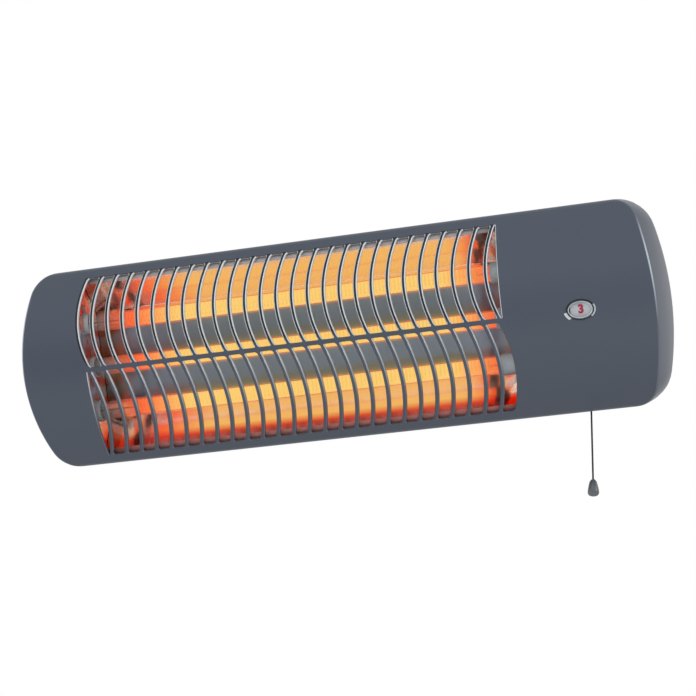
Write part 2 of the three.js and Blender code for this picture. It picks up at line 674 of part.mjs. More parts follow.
// a channel between the pan's back and the back cover
function panBracket(x) {
  const y0 = PAN_BACK_Y + PAN_WALL + FIT;
  const y1 = BACK_DEPTH - BACK_WALL - FIT;
  const wall = 1;
  const half = PAN_BRACKET_HALF;
  const foot = half + PAN_BRACKET_FOOT;
  const outline = shapeOf([
    [y1, -foot], [y1, -half + wall], [y0 + wall, -half + wall], [y0 + wall, half - wall],
    [y1, half - wall], [y1, foot], [y1 - wall, foot], [y1 - wall, half], [y0, half],
    [y0, -half], [y1 - wall, -half], [y1 - wall, -foot],
  ]);
  return alongX(outline, x - PAN_BRACKET_WIDTH / 2, x + PAN_BRACKET_WIDTH / 2);
}

function thermalCutout() {
  const x = PAN_START + 0.72 * PAN_LENGTH;
  const y0 = PAN_BACK_Y + PAN_WALL + FIT;
  const disc = solid(rod('y', y0, y0 + 5, x, 0, 8, 16));
  const cap = solid(rod('y', y0 + 4.5, y0 + 8, x, 0, 6, 16));
  const tabs = solid(block(x - 12, x + 12, y0 + 5.5, y0 + 6.3, -3, 3));
  return faceted(wasm.Manifold.union([disc, cap, tabs]));
}

// ---- the pull switch ----------------------------------------------------------------------
const FRAME_FROM_RIGHT = 74.5;
const FRAME_LEFT = CREASE_LENGTH / 2 - FRAME_FROM_RIGHT;
const FRAME_WIDTH = 38;
const FRAME_RIGHT = FRAME_LEFT + FRAME_WIDTH;
const FRAME_WALL = 1.6;
const FRAME_BACK = 4;
const FRAME_HALF = 22;
const FRAME_POST_INSET = 5;
const FRAME_POSTS = [FRAME_LEFT + FRAME_POST_INSET, FRAME_RIGHT - FRAME_POST_INSET].flatMap(
  (x) => [[x, WINDOW_Z - FRAME_HALF + FRAME_POST_INSET], [x, WINDOW_Z + FRAME_HALF - FRAME_POST_INSET]]);
const LEVER_FROM_FRAME = 7.4;
const LEVER_LEFT = FRAME_LEFT + FRAME_WALL + LEVER_FROM_FRAME;
const LEVER_WIDTH = 3.6;
const GLAND_FROM_RIGHT = 32.5;
const GLAND_X = CREASE_LENGTH / 2 - GLAND_FROM_RIGHT;
const GLAND_Z = -24;
const GLAND_BODY = 6.8;
const GLAND_BORE = 4.3;
const TERMINAL_PITCH = 8;
const TERMINAL_DEPTH = 11;
const TERMINAL_HALF = 8; // half its height
const TERMINAL_FROM_BELOW = 22.8; // the body's underside to its middle
const TERMINAL_Z = TERMINAL_FROM_BELOW - BODY_HEIGHT / 2;
const TERMINAL_FROM_FRAME = 20;

function switchFrame() {
  const back = solid(block(
    FRAME_LEFT, FRAME_RIGHT, FRAME_BACK - FRAME_WALL, FRAME_BACK,
    WINDOW_Z - FRAME_HALF, WINDOW_Z + FRAME_HALF));
  const cheek = roundedRect(DRUM_Y - 6, FRAME_BACK - 0.2, WINDOW_Z - 9, WINDOW_Z + 9, 4);
  const cheeks = [
    solid(alongX(cheek, FRAME_LEFT, FRAME_LEFT + FRAME_WALL, 4)),
    solid(alongX(cheek, FRAME_RIGHT - FRAME_WALL, FRAME_RIGHT, 4)),
  ];
  const bore = solid(rod(
    'x', FRAME_LEFT - 1, FRAME_RIGHT + 1, DRUM_Y, WINDOW_Z, SHAFT_RADIUS + FIT, 12));
  return faceted(wasm.Manifold.union([back, ...cheeks]).subtract(bore));
}

function drumShaft() {
  return rod('x', FRAME_LEFT - 2, FRAME_RIGHT - 0.1, DRUM_Y, WINDOW_Z, SHAFT_RADIUS, 12);
}

// the drum that carries the numbers, with its ratchet wheel on the side of the lever
function numberDrum() {
  const left = WINDOW_X - DRUM_WIDTH / 2;
  const teeth = 8;
  const points = [];
  for (let i = 0; i < teeth; i += 1) {
    const angle = 2 * Math.PI * i / teeth;
    points.push([8 * Math.cos(angle), 8 * Math.sin(angle)]);
    points.push([5.6 * Math.cos(angle + 0.08), 5.6 * Math.sin(angle + 0.08)]);
  }
  const wheel = solid(alongX(shapeOf(points), left - 1.6, left + 0.5).translate(0, DRUM_Y, WINDOW_Z));
  const drum = solid(rod('x', left, left + DRUM_WIDTH, DRUM_Y, WINDOW_Z, DRUM_RADIUS, 32));
  const bore = solid(rod(
    'x', left - 3, left + DRUM_WIDTH + 1, DRUM_Y, WINDOW_Z, SHAFT_RADIUS + FIT, 12));
  return faceted(drum.add(wheel).subtract(bore));
}

// the lever on the same shaft, its tongue reaching behind the drum to the cord
function ratchetLever() {
  const right = LEVER_LEFT + LEVER_WIDTH;
  const hub = solid(rod('x', LEVER_LEFT, right, 0, 0, 5, 16));
  const arm = solid(block(LEVER_LEFT, right, 0, LEVER_REACH + 4, -1.5, 1.5));
  const tongue = solid(block(LEVER_LEFT, CORD_X + 3.5, LEVER_REACH - 3, LEVER_REACH + 4, -1.5, 1.5));
  const slot = solid(block(
    CORD_X - CORD_RADIUS - 0.8, CORD_X + CORD_RADIUS + 0.8,
    LEVER_REACH - 1.8, LEVER_REACH + 5, -3, 3));
  const bore = solid(rod('x', LEVER_LEFT - 1, right + 1, 0, 0, SHAFT_RADIUS + FIT, 12));
  const lever = wasm.Manifold.union([hub, arm, tongue]);
  const geometry = faceted(wasm.Manifold.difference([lever, slot, bore]));
  geometry.rotateX(LEVER_REST * Math.PI / 180);
  geometry.translate(0, DRUM_Y, WINDOW_Z);
  return geometry;
}

// the torsion spring that brings the lever back up
function returnSpring() {
  const turns = 3;
  const wire = 0.4;
  const radius = SHAFT_RADIUS + 2;
  const x0 = FRAME_LEFT + FRAME_WALL + FIT + wire;
  const x1 = LEVER_LEFT - FIT - wire;
  const points = [];
  const at = (x, y, z) => new THREE.Vector3(x, DRUM_Y + y, WINDOW_Z + z);
  points.push(at(x0, radius, 9));
  points.push(at(x0, radius, 8));
  for (let i = 0; i <= turns * 8; i += 1) {
    const angle = -2 * Math.PI * i / 8;
    points.push(at(lerp(x0, x1, i / (turns * 8)), radius * Math.cos(angle), radius * Math.sin(angle)));
  }
  points.push(at(x1, radius, -8));
  points.push(at(x1, radius, -9));
  console.log('return spring: least gap to itself', selfGap(points, wire, 5).toFixed(2), 'mm');
  return sweep(points, wire, 5);
}

// the closed switch on the frame's right cheek, with its row of tabs
function switchBlock() {
  const x0 = FRAME_RIGHT + FIT;
  const body = solid(alongX(roundedRect(DRUM_Y - 8, -2, WINDOW_Z - 16, WINDOW_Z + 16, 2), x0, x0 + 11, 2));
  const tabs = [-10.5, -3.5, 3.5, 10.5].map((z) =>
    solid(block(x0 + 3, x0 + 8, -2.5, 5, WINDOW_Z + z - 0.4, WINDOW_Z + z + 0.4)));
  return faceted(wasm.Manifold.union([body, ...tabs]));
}

function windowBezel() {
  const shape = ellipse(WINDOW_X, WINDOW_Z, WINDOW_HALF_X + BEZEL_WALL, WINDOW_HALF_Z + BEZEL_WALL);
  shape.holes.push(new THREE.Path().absellipse(
    WINDOW_X, WINDOW_Z, WINDOW_HALF_X + FIT, WINDOW_HALF_Z + FIT, 0, 2 * Math.PI, true));
  return alongY(shape, -FRONT_DEPTH - BEZEL_PROUD, -FRONT_DEPTH - BEZEL_PROUD + BEZEL_DEPTH, 12);
}

// the domed oval lens, its crown a lathe cap drawn out to the oval
function windowLens() {
  const front = 0.9;
  const profile = [[0, LENS_DEPTH], [1, LENS_DEPTH], [1, 0.7]];
  for (let i = 1; i <= 3; i += 1) {
    const angle = i / 3 * Math.PI / 2;
    profile.push([Math.cos(angle), 0.7 - front * Math.sin(angle)]);
  }
  profile[profile.length - 1][0] = 0;
  const geometry = turned(profile, 'y', 24);
  geometry.scale(WINDOW_HALF_X, 1, WINDOW_HALF_Z);
  geometry.translate(WINDOW_X, -FRONT_DEPTH - BEZEL_PROUD + 0.5, WINDOW_Z);
  return geometry;
}

function terminalBlock() {
  const y1 = BACK_DEPTH - BACK_WALL - FIT;
  const middle = FRAME_LEFT + TERMINAL_FROM_FRAME;
  const [low, high] = [TERMINAL_Z - TERMINAL_HALF, TERMINAL_Z + TERMINAL_HALF];
  const half = 1.5 * TERMINAL_PITCH;
  const body = solid(block(middle - half, middle + half, y1 - TERMINAL_DEPTH, y1, low, high));
  const ways = [-1, 0, 1].map((k) => middle + k * TERMINAL_PITCH).flatMap((x) => [
    solid(rod('z', low - 1, high + 1, x, y1 - 4, 1.7, 8)),
    solid(rod('y', y1 - TERMINAL_DEPTH - 1, y1 - 6, x, TERMINAL_Z, 2, 8)),
  ]);
  return faceted(wasm.Manifold.difference([body, ...ways]));
}

// the inlet for the mains lead, which the photograph doesn't show
function cableGland() {
  const geometry = turned([
    [GLAND_BORE, BACK_DEPTH - 5], [GLAND_BODY, BACK_DEPTH - 5], [GLAND_BODY, BACK_DEPTH + FIT],
    [GLAND_BODY + 2.5, BACK_DEPTH + FIT], [GLAND_BODY + 2.5, BACK_DEPTH + 2.3],
    [GLAND_BODY, BACK_DEPTH + 3.3], [GLAND_BODY - 1, BACK_DEPTH + 7],
    [GLAND_BORE, BACK_DEPTH + 7], [GLAND_BORE, BACK_DEPTH - 5],
  ], 'y', 14);
  geometry.translate(GLAND_X, 0, GLAND_Z);
  return geometry;
}

// ---- the pull cord ------------------------------------------------------------------------
const MOUTH_Z = -HALF_HEIGHT; // the guide is flush with the body's underside

// the bush in the underside, its flange inside the cover
function cordGuide() {
  const bore = CORD_RADIUS + 0.55;
  const seat = -HALF_HEIGHT + COVER_WALL + FIT;
  const top = seat + GUIDE_COLLAR;
  const geometry = turned([
    [bore, top], [GUIDE_FLANGE, top], [GUIDE_FLANGE, seat], [GUIDE_RADIUS, seat],
    [GUIDE_RADIUS, MOUTH_Z], [bore + 0.7, MOUTH_Z], [bore, MOUTH_Z + 0.9], [bore, top],
  ].map(([r, h]) => [r, -h]), 'z', 12);
  geometry.rotateX(Math.PI);
  geometry.translate(CORD_X, CORD_Y, 0);
  return geometry;
}

function cordTube(path, steps) {
  const round = new THREE.Shape().absarc(0, 0, CORD_RADIUS, 0, 2 * Math.PI, false);
  return new THREE.ExtrudeGeometry(round, {
    steps, curveSegments: 4, bevelEnabled: false, extrudePath: path,
  });
}

// the stretch inside, from its stop on the lever's tongue down to the guide's mouth
function innerCord() {
  const rise = LEVER_REACH * Math.sin(LEVER_REST * Math.PI / 180);
  const ballRadius = 2;
  const ballZ = WINDOW_Z + rise + 1.5 + FIT + ballRadius - 0.2;
  const line = new THREE.LineCurve3(
    new THREE.Vector3(CORD_X, CORD_Y, MOUTH_Z), new THREE.Vector3(CORD_X, CORD_Y, ballZ));
  const cord = solid(cordTube(line, 20));
  const ball = new THREE.SphereGeometry(ballRadius, 8, 6);
  ball.translate(CORD_X, CORD_Y, ballZ);
  return faceted(cord.add(solid(ball)));
}

// the stretch that hangs from the guide, and the knob on its end: both plumb, below the mouth
function hangingCord() {
  const line = new THREE.LineCurve3(
    new THREE.Vector3(0, 0, -1), new THREE.Vector3(0, 0, -CORD_FALL));
  return cordTube(line, 18);
}

function cordKnob() {
  const top = -CORD_FALL + 3.5;
  const base = top - KNOB_HEIGHT;
  const bore = CORD_RADIUS + FIT;
  return turned([
    [0, base], [KNOB_RADIUS - 0.9, base], [KNOB_RADIUS - 0.2, base + 0.5],
    [KNOB_RADIUS, base + 1.5], [KNOB_RADIUS - 0.4, base + 4.2], [KNOB_RADIUS - 1.2, base + 8],
    [KNOB_RADIUS - 1.8, base + 10.6], [KNOB_RADIUS - 2.5, base + 12], [bore, base + KNOB_HEIGHT],
    [bore, -CORD_FALL - FIT], [0, -CORD_FALL - FIT],
  ], 'z', 16);
}

// ---- the wall bracket ---------------------------------------------------------------------
// a bent strip: the plate flat on the wall and an ear turned forward at each end
function wallBracket() {
  const low = -PLATE_HEIGHT / 2;
  const pivotZ = low + PLATE_BELOW;
  const plate = solid(alongY(
    roundedRect(-PIVOT_X, PIVOT_X, low, -low, 3), -PLATE_WALL, 0, 2));
  const ear = new THREE.Shape();
  ear.moveTo(0, pivotZ - EAR_RADIUS);
  ear.lineTo(0, -low - 8);
  ear.lineTo(-PLATE_WALL - 2, -low - 8);
  ear.lineTo(-PIVOT_TO_WALL - EAR_RADIUS, pivotZ + 4);
  ear.absarc(-PIVOT_TO_WALL, pivotZ, EAR_RADIUS, Math.PI - 0.4, 1.5 * Math.PI, false);
  const ears = [
    solid(alongX(ear, -PIVOT_X, -PIVOT_X + PLATE_WALL, 5)),
    solid(alongX(ear, PIVOT_X - PLATE_WALL, PIVOT_X, 5)),
  ];
  const holes = [solid(rod(
    'x', -PIVOT_X - 1, PIVOT_X + 1, -PIVOT_TO_WALL, pivotZ, BOLT_RADIUS + FIT, 16))];
  for (const x of [-KEYHOLE_X, KEYHOLE_X]) {
    holes.push(solid(rod('y', -PLATE_WALL - 1, 1, x, 8, 5, 16)));
    holes.push(solid(alongY(roundedRect(x - 2.5, x + 2.5, 6, 20, 2.4), -PLATE_WALL - 1, 1, 2)));
  }
  const [wide, high] = PLATE_HOLE_HALF;
  for (const x of [-PLATE_HOLE_X, PLATE_HOLE_X]) {
    holes.push(solid(alongY(
      roundedRect(x - wide, x + wide, -high, high, 6), -PLATE_WALL - 1, 1, 2)));
  }
  const bent = wasm.Manifold.union([plate, ...ears]);
  return faceted(wasm.Manifold.difference([bent, ...holes]));
}

// an angle on the back cover, its ear outside the bracket's, in the body's frame
function hingeLug(side) {
  const inner = PIVOT_X + FIT;
  const y0 = BACK_DEPTH + FIT;
  const [low, high] = [PIVOT_Z - LUG_BELOW, PIVOT_Z + LUG_ABOVE];
  const ear = new THREE.Shape();
  ear.moveTo(y0, low);
  ear.lineTo(PIVOT_Y, PIVOT_Z - EAR_RADIUS + 1);
  ear.absarc(PIVOT_Y, PIVOT_Z, EAR_RADIUS - 1, -Math.PI / 2, Math.PI / 2, false);
  ear.lineTo(y0 + 2, high);
  ear.lineTo(y0, high);
  const cheek = solid(alongX(ear, inner, inner + PLATE_WALL, 5));
  const flange = solid(alongY(
    roundedRect(inner, inner + LUG_FLANGE, low, high, 2), y0, y0 + PLATE_WALL, 3));
  const hole = solid(rod('x', inner - 1, inner + 4, PIVOT_Y, PIVOT_Z, BOLT_RADIUS + FIT, 16));
  const geometry = faceted(cheek.add(flange).subtract(hole));
  return side > 0 ? geometry : faceted(solid(geometry.scale(-1, 1, 1)));
}

// a hex-headed pivot bolt, in the bracket's frame about the pivot
function pivotBolt(side) {
  const seat = PIVOT_X + 2 * FIT + PLATE_WALL;
  const hexagon = shapeOf([0, 1, 2, 3, 4, 5].map((i) => [
    BOLT_HEAD * Math.cos(i * Math.PI / 3), BOLT_HEAD * Math.sin(i * Math.PI / 3)]));
  const head = solid(alongX(hexagon, seat, seat + 4));
  const shank = solid(rod('x', PIVOT_X - PLATE_WALL - 9, seat + 1, 0, 0, BOLT_RADIUS, 16));
  const geometry = faceted(head.add(shank));
  if (side < 0) geometry.rotateZ(Math.PI);
  return geometry;
}

function pivotNut(side) {
  const face = PIVOT_X - PLATE_WALL - FIT;
  const hexagon = shapeOf([0, 1, 2, 3, 4, 5].map((i) => [
    BOLT_HEAD * Math.cos(i * Math.PI / 3), BOLT_HEAD * Math.sin(i * Math.PI / 3)]));
  const nut = solid(alongX(hexagon, face - 5, face));
  const geometry = faceted(nut.subtract(solid(rod(
    'x', face - 6, face + 1, 0, 0, BOLT_RADIUS + FIT, 16))));
  if (side < 0) geometry.rotateZ(Math.PI);
  return geometry;
}

// ---- the assembly -------------------------------------------------------------------------
const group = new THREE.Group();
group.add(piece('wall_bracket', wallBracket(), zinc));

const pivot = new THREE.Group();
pivot.position.set(0, -PIVOT_TO_WALL, -PLATE_HEIGHT / 2 + PLATE_BELOW);
group.add(pivot);
for (const [side, name] of [[-1, 'left'], [1, 'right']]) {
  pivot.add(piece(`pivot_bolt_${name}`, pivotBolt(side), zinc));
  pivot.add(piece(`pivot_nut_${name}`, pivotNut(side), zinc));
}

const tilted = new THREE.Group();
tilted.rotation.x = TILT * Math.PI / 180;
pivot.add(tilted);
const body = new THREE.Group();
body.position.set(0, -PIVOT_Y, -PIVOT_Z);
tilted.add(body);

body.add(piece('front_cover', frontCover(), anthracite));
body.add(piece('back_cover', backCover(), darkPlastic));
POSTS.forEach((at, i) => body.add(piece(`cover_screw_${i + 1}`, coverScrew(at), zinc)));
body.add(piece('hinge_lug_left', hingeLug(-1), zinc));
body.add(piece('hinge_lug_right', hingeLug(1), zinc));
body.add(piece('reflector_pan', reflectorPan(), polished));
body.add(piece('reflector_end_left', reflectorEnd(PAN_START - FIT - PAN_WALL), polished));
body.add(piece('reflector_end_right', reflectorEnd(PAN_START + PAN_LENGTH + FIT), polished));
body.add(piece('pan_bracket_left', panBracket(PAN_START + 0.18 * PAN_LENGTH), zinc));
body.add(piece('pan_bracket_right', panBracket(PAN_START + 0.88 * PAN_LENGTH), zinc));
TUBE_ROWS.forEach((z, i) => {
  body.add(piece(`quartz_tube_${i + 1}`, quartzTube(z), quartz));
  body.add(piece(`heating_coil_${i + 1}`, heatingCoil(z), hotWire));
  body.add(piece(`tube_cap_left_${i + 1}`, tubeCap(z, -1), ceramic));
  body.add(piece(`tube_cap_right_${i + 1}`, tubeCap(z, 1), ceramic));
});
body.add(piece('bus_strip', busStrip(), polished));
body.add(piece('thermal_cutout', thermalCutout(), darkPlastic));
body.add(piece('terminal_block', terminalBlock(), dialPlastic));
body.add(piece('cable_gland', cableGland(), darkPlastic));
body.add(piece('switch_frame', switchFrame(), zinc));
body.add(piece('switch_block', switchBlock(), darkPlastic));
body.add(piece('drum_shaft', drumShaft(), zinc));
body.add(piece('return_spring', returnSpring(), zinc));
body.add(piece('window_bezel', windowBezel(), darkPlastic));
body.add(piece('window_lens', windowLens(), lensPlastic));
body.add(piece('cord_guide', cordGuide(), greyPlastic));
body.add(piece('number_drum', numberDrum(), dialPlastic));
body.add(piece('ratchet_lever', ratchetLever(), greyPlastic));
body.add(piece('cord_inner', innerCord(), greyPlastic));

// the hanging cord stays plumb, whatever the tilt
const mouth = new THREE.Group();
mouth.position.set(CORD_X, CORD_Y, MOUTH_Z);
body.add(mouth);
const plumb = new THREE.Group();
plumb.rotation.x = -TILT * Math.PI / 180;
mouth.add(plumb);
plumb.add(piece('pull_cord', hangingCord(), greyPlastic));
plumb.add(piece('cord_knob', cordKnob(), greyPlastic));

export default group;
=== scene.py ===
import math

import bmesh
import bpy
from mathutils import Matrix, Vector


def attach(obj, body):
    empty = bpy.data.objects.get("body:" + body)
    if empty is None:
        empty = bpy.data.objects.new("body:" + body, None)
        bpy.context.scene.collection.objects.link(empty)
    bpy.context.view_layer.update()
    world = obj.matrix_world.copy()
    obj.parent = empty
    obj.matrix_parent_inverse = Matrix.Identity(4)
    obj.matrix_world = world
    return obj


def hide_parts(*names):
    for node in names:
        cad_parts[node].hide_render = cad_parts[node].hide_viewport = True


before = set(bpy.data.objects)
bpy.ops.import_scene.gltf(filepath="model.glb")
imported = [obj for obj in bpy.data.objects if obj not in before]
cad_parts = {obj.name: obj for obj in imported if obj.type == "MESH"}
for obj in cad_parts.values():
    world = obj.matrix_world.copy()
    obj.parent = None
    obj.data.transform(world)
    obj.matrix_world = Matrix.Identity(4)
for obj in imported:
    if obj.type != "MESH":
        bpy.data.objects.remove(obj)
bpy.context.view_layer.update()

# ---- camera ---------------------------------------------------------------------------------
# The photograph looks up at the heater from below and a little to its right, with a long lens.
# EYE is the camera's place in metres, beside its own right and up.
EYE = Vector((0.3602, -1.22155, -0.87684))
EYE_RIGHT = Vector((0.9636, 0.26303, 0.04821))
EYE_UP = Vector((0.1147, -0.56932, 0.81411))

lens = bpy.data.cameras.new("camera")
lens.lens = 105.0
lens.sensor_width = 36.0
lens.clip_start = 0.05
lens.clip_end = 60.0
camera = bpy.data.objects.new("camera", lens)
bpy.context.scene.collection.objects.link(camera)
eye_back = EYE_RIGHT.cross(EYE_UP).normalized()
camera.matrix_world = Matrix.Translation(EYE) @ Matrix(
    (EYE_RIGHT.normalized(), EYE_UP.normalized(), eye_back)
).transposed().to_4x4()
bpy.context.scene.camera = camera
bpy.context.scene.view_settings.view_transform = "Standard"

# ---- studio ---------------------------------------------------------------------------------
# A pale floor well below the heater, a white room, a large soft box in front and a small one on
# each side. The floor and the room show white to the camera, to metal and through glass.
FLOOR_Z = -1.6
FLOOR_RADIUS = 5.0
HEATER_MIDDLE = (0, -0.06, 0)


def linear(code):
    """An sRGB hex colour as linear red, green, blue and 1."""
    parts = [int(code[i : i + 2], 16) / 255 for i in (1, 3, 5)]
    flat = [p / 12.92 if p <= 0.04045 else ((p + 0.055) / 1.055) ** 2.4 for p in parts]
    return (*flat, 1.0)


def add(tree, kind, sockets=None, **settings):
    """One node of a shader tree, with its settings, and its sockets set or linked."""
    node = tree.nodes.new("ShaderNode" + kind)
    for key, value in settings.items():
        setattr(node, key, value)
    for key, value in (sockets or {}).items():
        if isinstance(value, bpy.types.NodeSocket):
            tree.links.new(value, node.inputs[key])
        else:
            node.inputs[key].default_value = value
    return node


def blank(name):
    """A new material, its empty tree and that tree's output."""
    made = bpy.data.materials.new(name)
    made.use_nodes = True
    made.node_tree.nodes.clear()
    return made, made.node_tree, add(made.node_tree, "OutputMaterial")


def seen_directly(tree):
    """A socket that is 1 for rays from the camera, mirrors and glass, and 0 for lighting."""
    path = add(tree, "LightPath")
    either = add(tree, "Math", {0: path.outputs["Is Camera Ray"],
                                1: path.outputs["Is Glossy Ray"]}, operation="MAXIMUM")
    return add(tree, "Math", {0: either.outputs[0],
                              1: path.outputs["Is Transmission Ray"]}, operation="MAXIMUM").outputs[0]


world = bpy.data.worlds.new("room")
bpy.context.scene.world = world
world.use_nodes = True
air = world.node_tree
air.nodes.clear()
room_light = add(air, "Background", {"Color": linear("#eef1f6"), "Strength": 0.55})
room_white = add(air, "Background", {"Color": linear("#ffffff"), "Strength": 1.0})
room_mix = add(air, "MixShader", {0: seen_directly(air), 1: room_light.outputs[0],
                                  2: room_white.outputs[0]})
add(air, "OutputWorld", {"Surface": room_mix.outputs[0]})

# matt white paper, lifted to plain white where it is seen and not where it lights
floor_finish, tree, out = blank("pale_floor")
board = add(tree, "BsdfPrincipled", {"Base Color": linear("#f4f4f2"), "Roughness": 0.9})
lift = add(tree, "Math", {0: seen_directly(tree), 1: 0.42}, operation="MULTIPLY")
sheen = add(tree, "Emission", {"Color": linear("#ffffff"), "Strength": lift.outputs[0]})
paper = add(tree, "AddShader", {0: board.outputs[0], 1: sheen.outputs[0]})
tree.links.new(paper.outputs[0], out.inputs["Surface"])
bm = bmesh.new()
bmesh.ops.create_circle(bm, cap_ends=True, segments=96, radius=FLOOR_RADIUS)
bmesh.ops.translate(bm, verts=bm.verts, vec=(0, 0, FLOOR_Z))
mesh = bpy.data.meshes.new("floor")
bm.to_mesh(mesh)
bm.free()
mesh.materials.append(floor_finish)
floor = bpy.data.objects.new("floor", mesh)
bpy.context.scene.collection.objects.link(floor)


def soft_box(name, place, target, wide, high, watts):
    """A white rectangular lamp that faces a point."""
    data = bpy.data.lights.new(name, "AREA")
    data.shape = "RECTANGLE"
    data.size = wide
    data.size_y = high
    data.energy = watts
    lamp = bpy.data.objects.new(name, data)
    bpy.context.scene.collection.objects.link(lamp)
    lamp.location = place
    lamp.rotation_euler = (Vector(target) - Vector(place)).to_track_quat("-Z", "Y").to_euler()
    return lamp


front_box = soft_box("box_front", (0.3, -1.95, -0.85), HEATER_MIDDLE, 1.8, 1.4, 25)
front_box.visible_glossy = False
soft_box("box_right", (1.5, -0.5, 0.4), (0.1, -0.06, 0), 0.5, 1.2, 7)
soft_box("box_left", (-1.7, -1.0, 0.1), HEATER_MIDDLE, 0.8, 1.2, 4)

# a grey card in front of the heater, seen only in its polished metal and gloss
card_finish, tree, out = blank("grey_card")
shade = add(tree, "Emission", {"Color": linear("#ffffff"), "Strength": 0.17})
tree.links.new(shade.outputs[0], out.inputs["Surface"])
bm = bmesh.new()
bmesh.ops.create_grid(bm, x_segments=1, y_segments=1, size=1)
mesh = bpy.data.meshes.new("card")
bm.to_mesh(mesh)
bm.free()
mesh.materials.append(card_finish)
card = bpy.data.objects.new("card", mesh)
bpy.context.scene.collection.objects.link(card)
card_place = Vector((-0.15, -1.75, -1.35))
card.matrix_world = (
    Matrix.Translation(card_place)
    @ (Vector(HEATER_MIDDLE) - card_place).to_track_quat("Z", "Y").to_matrix().to_4x4()
    @ Matrix.Diagonal((1.3, 0.75, 1, 1))
)
card.visible_camera = False
card.visible_diffuse = False
card.visible_shadow = False
card.visible_transmission = False

# ---- pull cord ------------------------------------------------------------------------------
# A thin twisted polyester cord that leaves the body by a bush and hangs plumb, with a moulded
# knob on its end. A piece's sizes are in millimetres. BODY sets the heater's own frame in its
# place, tilted on its pivot; PLUMB is the upright line below the mouth of the cord's guide.
TILT = math.radians(40)
PIVOT = Vector((0, -18, -18))
PIVOT_IN_BODY = Vector((0, 44, -40))
BODY = (
    Matrix.Scale(0.001, 4) @ Matrix.Translation(PIVOT)
    @ Matrix.Rotation(TILT, 4, "X") @ Matrix.Translation(-PIVOT_IN_BODY)
)
CORD_X = 174.5
CORD_Y = -6.0
CORD_WIDTH = 1.3
CORD_FALL = 60.0
CORD_STEPS = 18
MOUTH_Z = -72.8
mouth = BODY @ Vector((CORD_X, CORD_Y, MOUTH_Z))
PLUMB = Matrix.Translation(mouth) @ Matrix.Scale(0.001, 4)


def placed(name, mesh, finish, body, nodes):
    """Links a finished mesh or curve as a piece that rides on a body and stands for its nodes."""
    mesh.materials.append(finish)
    piece = bpy.data.objects.new(name, mesh)
    bpy.context.scene.collection.objects.link(piece)
    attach(piece, body)
    if nodes:
        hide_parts(*nodes)
    return piece


def built(name, bm, where, finish, body, nodes):
    """The same from a bmesh in millimetres, which a matrix sets in its place."""
    bmesh.ops.transform(bm, matrix=where, verts=bm.verts)
    for face in bm.faces:
        face.smooth = True
    mesh = bpy.data.meshes.new(name)
    bm.to_mesh(mesh)
    bm.free()
    return placed(name, mesh, finish, body, nodes)


def line_of(name, points, radius, finish, body, nodes, sides=4):
    """A round cord or wire along points in metres, as one open curve."""
    curve = bpy.data.curves.new(name, "CURVE")
    curve.dimensions = "3D"
    curve.bevel_depth = radius
    curve.bevel_resolution = sides
    curve.use_fill_caps = True
    spline = curve.splines.new("POLY")
    spline.points.add(len(points) - 1)
    for dot, at in zip(spline.points, points):
        dot.co = (*at, 1.0)
    return placed(name, curve, finish, body, nodes)


# polyester cord, dyed dark grey: matt, with the slanting light and dark of its twist, whose
# strands lie 0.75 mm apart
cord_yarn, tree, out = blank("polyester_cord")
place = add(tree, "TexCoord")
turned_about = add(tree, "Mapping", {"Vector": place.outputs["Object"],
                                     "Rotation": (0.0, math.radians(38), 0.0)})
twist = add(tree, "TexWave", {"Vector": turned_about.outputs[0], "Scale": 420.0,
                              "Distortion": 0.6}, bands_direction="Z")
tone = add(tree, "MixRGB", {"Fac": twist.outputs["Fac"], "Color1": linear("#1e2023"),
                            "Color2": linear("#2e3135")})
relief = add(tree, "Bump", {"Height": twist.outputs["Fac"], "Strength": 0.5, "Distance": 0.0001})
yarn = add(tree, "BsdfPrincipled", {"Base Color": tone.outputs[0], "Roughness": 0.75,
                                    "Normal": relief.outputs[0]})
tree.links.new(yarn.outputs[0], out.inputs["Surface"])

# its free length starts 1 mm below the mouth and ends inside the knob
hanging = [PLUMB @ Vector((0, 0, -1 - (CORD_FALL - 1) * i / CORD_STEPS))
           for i in range(CORD_STEPS + 1)]


def clouded(name, scale, dark, pale, surface, detail=2.0):
    """A material whose colour drifts from dark to pale in patches of 1 / scale metres."""
    made, tree, out = blank(name)
    place = add(tree, "TexCoord")
    cloud = add(tree, "TexNoise", {"Vector": place.outputs["Object"], "Scale": scale,
                                   "Detail": detail})
    tone = add(tree, "MixRGB", {"Fac": cloud.outputs["Fac"], "Color1": linear(dark),
                                "Color2": linear(pale)})
    skin = add(tree, "BsdfPrincipled", {"Base Color": tone.outputs[0], **surface})
    tree.links.new(skin.outputs[0], out.inputs["Surface"])
    return made


# moulded grey polystyrene: smooth, half gloss and faintly clouded, in patches of 4 mm
knob_plastic = clouded("grey_polystyrene", 260.0, "#3a3f43", "#5a6064",
                       {"Roughness": 0.22, "IOR": 1.59}, detail=3.0)


def lathe(profile, sides, axis="Z"):
    """A closed turned body from (radius, height) points, as a bmesh along an axis."""
    bm = bmesh.new()
    dots = [bm.verts.new((r, 0, h)) for r, h in profile]
    edges = [bm.edges.new(pair) for pair in zip(dots, dots[1:])]
    bmesh.ops.spin(bm, geom=dots + edges, cent=(0, 0, 0), axis=(0, 0, 1),
                   angle=2 * math.pi, steps=sides, use_merge=True)
    bmesh.ops.remove_doubles(bm, verts=bm.verts, dist=1e-4)
    bmesh.ops.recalc_face_normals(bm, faces=bm.faces)
    if axis == "X":
        bmesh.ops.rotate(bm, verts=bm.verts, matrix=Matrix.Rotation(math.pi / 2, 3, "Y"))
    if axis == "Y":
        bmesh.ops.rotate(bm, verts=bm.verts, matrix=Matrix.Rotation(-math.pi / 2, 3, "X"))
    return bm


TURNED_SIDES = 40
ROUND_STEPS = 3
ROUND_ROOM = 0.45


